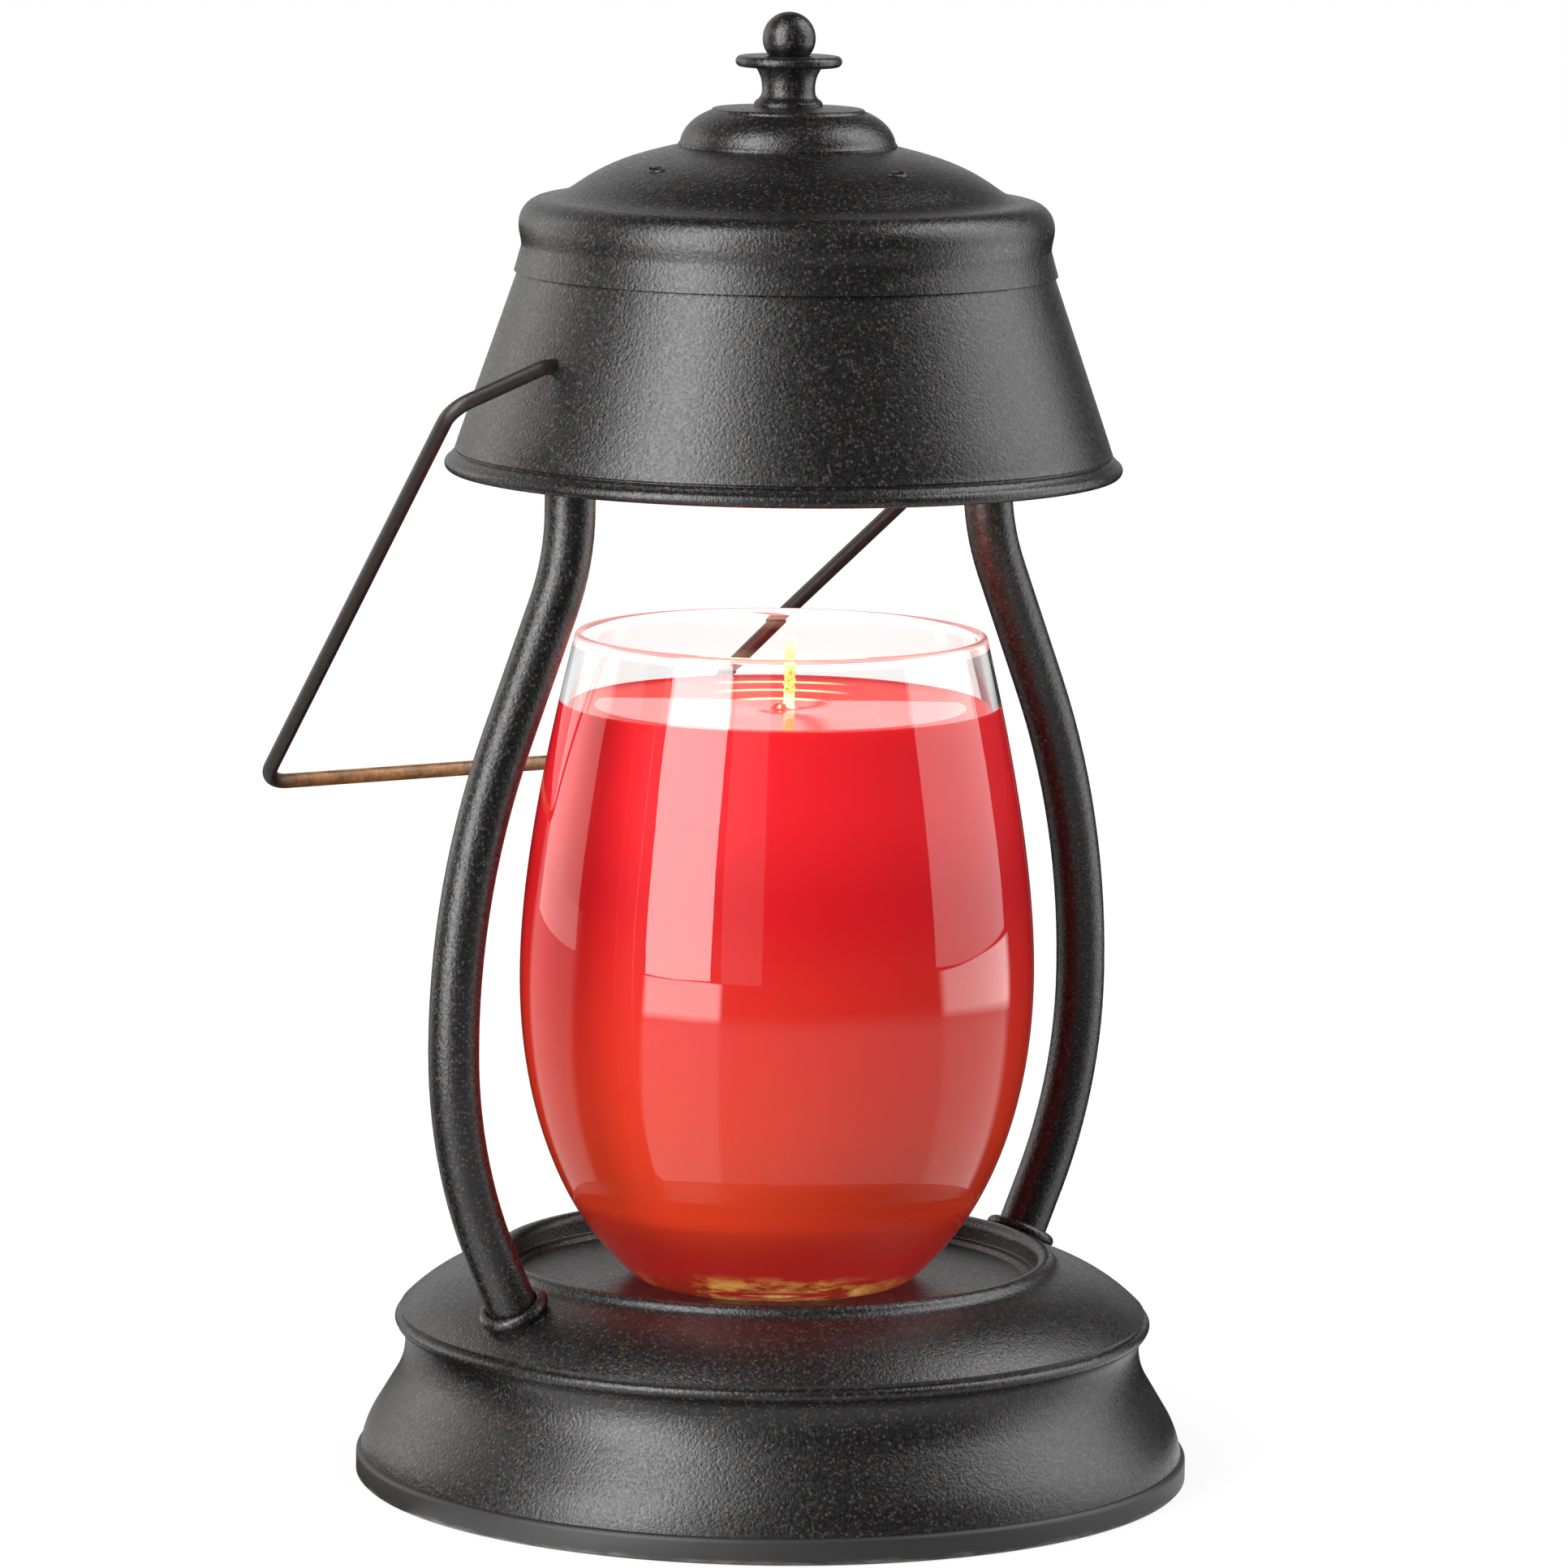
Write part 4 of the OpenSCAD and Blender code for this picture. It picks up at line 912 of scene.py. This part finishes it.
nickel, tree, skin, at = finish("nickel plate")
wiped = add(tree, "ShaderNodeTexNoise", {"Vector": at, "Scale": 1 / 0.001, "Detail": 3})
tone = add(
    tree, "ShaderNodeMix",
    {0: wiped.outputs["Fac"], 6: colour("#b8b3a8"), 7: colour("#dcd8cf")}, data_type="RGBA",
)
tree.links.new(tone.outputs[2], skin.inputs["Base Color"])
skin.inputs["Metallic"].default_value = 1.0
skin.inputs["Roughness"].default_value = 0.22
dress(nickel, "lamp_pin_1", "lamp_pin_2")

# The lamp is lit: its warm beam falls on the wick and the wax
beam = bpy.data.objects.new("lamp_beam", bpy.data.lights.new("lamp_beam", "SPOT"))
beam.data.energy = 0.14
beam.data.color = (1.0, 0.78, 0.45)
beam.data.spot_size = math.radians(75)
beam.data.spot_blend = 0.6
beam.data.shadow_soft_size = 0.012
beam.location.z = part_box("lamp_reflector")[0].z - 0.002
scene.collection.objects.link(beam)

# ---- Candle ----
# A tumbler of clear glass filled with red wax. The glass is thick at the foot, its lip is fire
# polished, and the wax, dyed right through, has melted to a smooth top round a cotton wick.


def weld(line, gap=0.02):
    """Drops points closer than a gap."""
    out = [line[0]]
    for p in line[1:]:
        if math.hypot(p[0] - out[-1][0], p[1] - out[-1][1]) > gap:
            out.append(p)
    return out


# The tumbler's heights are measured from the pan that it stands on
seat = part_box("candle_jar")[0].z * 1000
stand_r, belly_r, belly_z, mouth_r, jar_h = 27, 53.9, 64.7, 43.1, 137
base_t, wall_t, lip_t = 7, 2.6, 1.8
lip_z = jar_h - 1.3
jar_low = curve(
    (30, 1.2), (stand_r + 0.61 * (belly_r - stand_r), 0.19 * belly_z),
    (belly_r, 0.53 * belly_z), (belly_r, belly_z), 40,
)
lean = math.radians(12.5)
jar_high = curve(
    (belly_r, belly_z), (belly_r, belly_z + 0.32 * (jar_h - belly_z)),
    (mouth_r + 22 * math.sin(lean), jar_h - 22 * math.cos(lean)), (mouth_r, lip_z), 40,
)
jar_out = weld(jar_low + jar_high[1:])
jar_wall = [p for p in inside(jar_out, wall_t) if p[1] > 0.27 * belly_z]
# The wall thins to the lip's thickness over 13 mm, before it leaves the wax
jar_wall = [(r + (wall_t - lip_t) * min(1, max(0, (z - 106) / 13)), z) for r, z in jar_wall]
heel = jar_wall[0]
bowl = curve((9, base_t), (0.7 * stand_r, base_t), (heel[0] - 7, heel[1] - 6.5), heel, 20)
jar_in = weld([(0, base_t)] + bowl + jar_wall[1:])
foot_ring = [(0, 0.9), (20, 0.7), (23.5, 0.35), (25, 0.02), (26.2, 0.0), (27.4, 0.12), (28.8, 0.55)]
lip = arc((mouth_r - lip_t / 2, lip_z), lip_t / 2, 0, 180, 16)
outline = foot_ring + jar_out + lip[1:] + [p for p in reversed(jar_in) if p[1] < lip_z - 0.3]
form = spun([(r, z + seat) for r, z in outline], 192)
soda_glass, tree, skin, at = clear_glass("clear soda-lime glass", "#fcfefd", 1.5)
sway = add(tree, "ShaderNodeTexNoise", {"Vector": at, "Scale": 1 / 0.035, "Detail": 1})
bump = add(
    tree, "ShaderNodeBump", {"Height": sway.outputs["Fac"], "Strength": 0.12, "Distance": 0.002}
)
tree.links.new(bump.outputs[0], skin.inputs["Normal"])
jar = piece("glass_tumbler", form, soda_glass, "candle", crease=60)

# The round lip is painted with a faint pale pink glow that stands for the lamp's light it gathers,
# so its edge shows pale pink and not dark
glowing_lip_glass, tree, skin, at = clear_glass("fire-polished lip of soda-lime glass with a painted glow", "#fcfefd", 1.5)
skin.inputs["Emission Color"].default_value = colour("#ffb8b4")
skin.inputs["Emission Strength"].default_value = 0.4
jar.data.materials.append(glowing_lip_glass)
for f in jar.data.polygons:
    if f.center.z * 1000 > seat + lip_z - 1.1:
        f.material_index = 1
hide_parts("candle_jar")

# The wax wets the glass: it is drawn a hair into the wall, with no film of air between them. It
# climbs the glass in a small curve, and sinks a little round the wick
wax_top = 121.4
wax_wall = [(r + 0.12, z) for r, z in jar_in if base_t + 0.2 < z < wax_top + 0.2]
edge_r = wax_wall[-1][0]
climb = [(0.02, 0.5), (0.16, 0.27), (0.4, 0.12), (0.9, 0.03), (6, -0.02), (7, -0.03)]
dimple = [(24, -0.05), (15, -0.12), (9, -0.3), (5, -0.6), (2.5, -0.72), (1.7, -0.3), (1.2, 0.35)]
wax_line = [(0, base_t - 0.1), (9, base_t - 0.1)] + wax_wall
wax_line += [(edge_r - inwards, wax_top + z) for inwards, z in climb]
wax_line += [(r, wax_top + z) for r, z in dimple + [(0, 0.4)]]
form = spun([(r, z + seat) for r, z in weld(wax_line)], 192)


def waxy(skin, rough, shine, glow, radius=(0.012, 0.002, 0.0015)):
    """Gives a Principled shader the refraction of wax and its red glow from within."""
    skin.inputs["Roughness"].default_value = rough
    skin.inputs["IOR"].default_value = 1.44
    skin.inputs["Specular IOR Level"].default_value = shine
    skin.inputs["Subsurface Weight"].default_value = glow
    skin.inputs["Subsurface Radius"].default_value = radius
    skin.inputs["Subsurface Scale"].default_value = 1.0


wax, tree, skin, at = finish("dyed paraffin wax with painted lamp light")
height = add(tree, "ShaderNodeSeparateXYZ", {0: at}).outputs["Z"]
rise = add(tree, "ShaderNodeMapRange", {"Value": height, "From Min": 0.058, "From Max": 0.125})
low_red = add(
    tree, "ShaderNodeMix",
    {0: rise.outputs[0], 6: colour("#c63a1c"), 7: colour("#ba131a")}, data_type="RGBA",
)
# The lamp shines 20 mm down into the wax; its colour there is painted brighter, painted light
painted_top_light = add(tree, "ShaderNodeMapRange", {"Value": height, "From Min": 0.130, "From Max": 0.148})
red = add(
    tree, "ShaderNodeMix",
    {0: painted_top_light.outputs[0], 6: low_red.outputs[2], 7: colour("#d01b24")}, data_type="RGBA",
)
tree.links.new(red.outputs[2], skin.inputs["Base Color"])
# Underneath, a painted glow stands for the light that comes down through the glass: the wax's foot
# glows amber, with golden patches about 9 mm wide, seen through the thick foot of the glass, and a
# red glow fades out a little way up the wall
patches = add(
    tree, "ShaderNodeTexNoise", {"Vector": at, "Scale": 1 / 0.009, "Detail": 5, "Roughness": 0.7}
)
painted_gold = add(
    tree, "ShaderNodeMapRange",
    {"Value": patches.outputs["Fac"], "From Min": 0.46, "From Max": 0.64},
)
painted_amber_glow = add(
    tree, "ShaderNodeMix",
    {0: painted_gold.outputs[0], 6: colour("#8c2c14"), 7: colour("#ffcf6a")}, data_type="RGBA",
)
on_wall = add(tree, "ShaderNodeMapRange", {"Value": height, "From Min": 0.0488, "From Max": 0.0510})
from_foot = add(
    tree, "ShaderNodeMix",
    {0: on_wall.outputs[0], 6: painted_amber_glow.outputs[2], 7: colour("#bc1c20")}, data_type="RGBA",
)
foot_glow_strength = add(
    tree, "ShaderNodeMapRange",
    {"Value": height, "From Min": 0.066, "From Max": 0.0488, "To Min": 0.0, "To Max": 0.65},
)
tree.links.new(from_foot.outputs[2], skin.inputs["Emission Color"])
tree.links.new(foot_glow_strength.outputs[0], skin.inputs["Emission Strength"])
waxy(skin, rough=0.4, shine=0.08, glow=0.35)
candle = piece("wax_fill", form, wax, "candle", crease=60)

# The top has melted and set again many times, so it is glossier. Its colour is a little paler than
# the wax below
melted, tree, skin, at = finish("melted paraffin wax")
waxy(skin, rough=0.1, shine=0.4, glow=0.3, radius=(0.012, 0.003, 0.002))
swirl = add(tree, "ShaderNodeTexNoise", {"Vector": at, "Scale": 1 / 0.018, "Detail": 2})
tone = add(
    tree, "ShaderNodeMix",
    {0: swirl.outputs["Fac"], 6: colour("#e61e2a"), 7: colour("#f04454")}, data_type="RGBA",
)
tree.links.new(tone.outputs[2], skin.inputs["Base Color"])
# Beyond the wick the pool is painted not to mirror the room: it is painted a deep red there,
# painted shade, with short golden ripples round the wick, a painted glow that stands for the lamp's
# light lying in it
spacing, first = 0.0125, 0.0115
waves = 2 * math.pi / spacing
level = add(tree, "ShaderNodeVectorMath", {0: at, 1: (1, 1, 0)}, operation="MULTIPLY")
outwards = add(
    tree, "ShaderNodeVectorMath", {0: level.outputs[0]}, operation="LENGTH"
).outputs["Value"]
beyond = add(
    tree, "ShaderNodeVectorMath", {0: at, 1: -to_camera}, operation="DOT_PRODUCT"
).outputs["Value"]
aside = add(
    tree, "ShaderNodeVectorMath", {0: at, 1: across}, operation="DOT_PRODUCT"
).outputs["Value"]
wave = add(
    tree, "ShaderNodeMath", {0: outwards, 1: waves, 2: -waves * first}, operation="MULTIPLY_ADD"
)
crest = add(tree, "ShaderNodeMath", {0: wave.outputs[0]}, operation="COSINE")
line = add(
    tree, "ShaderNodeMapRange", {"Value": crest.outputs[0], "From Min": 0.50, "From Max": 0.95}
)
from_wick = add(tree, "ShaderNodeMath", {0: aside}, operation="ABSOLUTE")
length = add(
    tree, "ShaderNodeMapRange",
    {
        "Value": from_wick.outputs[0],
        "From Min": 0.0150, "From Max": 0.0060, "To Min": 0.0, "To Max": 1.5,
    },
)
painted_glint = add(
    tree, "ShaderNodeMath", {0: line.outputs[0], 1: length.outputs[0]}, operation="MULTIPLY"
)
painted_gold = add(
    tree, "ShaderNodeMix",
    {0: line.outputs[0], 6: colour("#ff9a1e"), 7: colour("#fff0b4")}, data_type="RGBA",
)
painted_far_red = add(
    tree, "ShaderNodeBsdfPrincipled",
    {
        "Base Color": colour("#d81c1c"),
        "Emission Color": painted_gold.outputs[2], "Emission Strength": painted_glint.outputs[0],
    },
)
waxy(painted_far_red, rough=0.4, shine=0.06, glow=0.3)
far_side = add(
    tree, "ShaderNodeMapRange", {"Value": beyond, "From Min": 0.0080, "From Max": 0.0095}
)
both = add(
    tree, "ShaderNodeMixShader", {0: far_side.outputs[0], 1: skin.outputs[0], 2: painted_far_red.outputs[0]}
)
show_instead(tree, both)
candle.data.materials.append(melted)
for f in candle.data.polygons:
    if f.normal.z > 0.5 and f.center.z * 1000 > seat + 100:
        f.material_index = 1

# Where it meets the glass the set wax has no shine, and it is painted a deeper red there, painted
# shade along the edge of the pool
shaded_rim_red, tree, skin, at = finish("set wax at the glass with painted shade")
waxy(skin, rough=0.4, shine=0.06, glow=0.3)
ripple = add(tree, "ShaderNodeTexNoise", {"Vector": at, "Scale": 1 / 0.012, "Detail": 3})
tone = add(
    tree, "ShaderNodeMix",
    {0: ripple.outputs["Fac"], 6: colour("#c80f18"), 7: colour("#e32028")}, data_type="RGBA",
)
tree.links.new(tone.outputs[2], skin.inputs["Base Color"])
candle.data.materials.append(shaded_rim_red)
for f in candle.data.polygons:
    if f.material_index == 1 and math.hypot(f.center.x, f.center.y) * 1000 > edge_r - 6.5:
        f.material_index = 2
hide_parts("candle_wax")

# The wick is three strands of cotton laid round each other and soaked in wax. It leans a little
cotton, tree, skin, at = finish("waxed cotton braid")
fibre = add(tree, "ShaderNodeTexNoise", {"Vector": at, "Scale": 1 / 0.0006, "Detail": 4})
strand_tone = add(
    tree, "ShaderNodeMapRange", {"Value": fibre.outputs["Fac"], "From Min": 0.38, "From Max": 0.62}
)
tone = add(
    tree, "ShaderNodeMix",
    {0: strand_tone.outputs[0], 6: colour("#e09a10"), 7: colour("#fff08c")}, data_type="RGBA",
)
tree.links.new(tone.outputs[2], skin.inputs["Base Color"])
# The whole wick glows in its own colours, and its tip and its foot shine white: painted light that
# stands for the lamp's beam on it
height = add(tree, "ShaderNodeSeparateXYZ", {0: at}).outputs["Z"]
tip = add(tree, "ShaderNodeMapRange", {"Value": height, "From Min": 0.1725, "From Max": 0.1765})
foot = add(tree, "ShaderNodeMapRange", {"Value": height, "From Min": 0.1665, "From Max": 0.1650})
painted_bright_ends = add(tree, "ShaderNodeMath", {0: tip.outputs[0], 1: foot.outputs[0]}, operation="MAXIMUM")
lit = add(
    tree, "ShaderNodeMix",
    {0: painted_bright_ends.outputs[0], 6: tone.outputs[2], 7: colour("#fffbe8")}, data_type="RGBA",
)
tree.links.new(lit.outputs[2], skin.inputs["Emission Color"])
skin.inputs["Emission Strength"].default_value = 0.85
skin.inputs["Roughness"].default_value = 0.45
skin.inputs["Subsurface Weight"].default_value = 0.2
skin.inputs["Subsurface Radius"].default_value = (0.002, 0.0015, 0.0008)


def merged(forms):
    """Several forms as one."""
    out = bmesh.new()
    for f in forms:
        mesh = bpy.data.meshes.new("strand")
        f.to_mesh(mesh)
        f.free()
        out.from_mesh(mesh)
        bpy.data.meshes.remove(mesh)
    return out


low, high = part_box("candle_wick")
wick_low, wick_top = low.z * 1000, high.z * 1000
lay_r, lay_pitch, tilt, last = 0.62, 4.2, 2.0, 159
strands = []
for k in range(3):
    line = []
    for i in range(last + 1):
        z = wick_low + (wick_top - 0.35 - wick_low) * i / last
        a = 2 * math.pi * ((z - wick_low) / lay_pitch + k / 3)
        off = tilt * (z - wick_low) / (wick_top - wick_low)
        line.append((lay_r * math.cos(a) + off * across.x, lay_r * math.sin(a) + off * across.y, z))
    strands.append(tube(line, lambda t: 0.68 if t < 0.985 else 0.5, 10))
wick = piece("braided_wick", merged(strands), cotton, "candle", crease=70)
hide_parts("candle_wick")
dress(nickel, "wick_tab")

scene.view_settings.view_transform = "Standard"
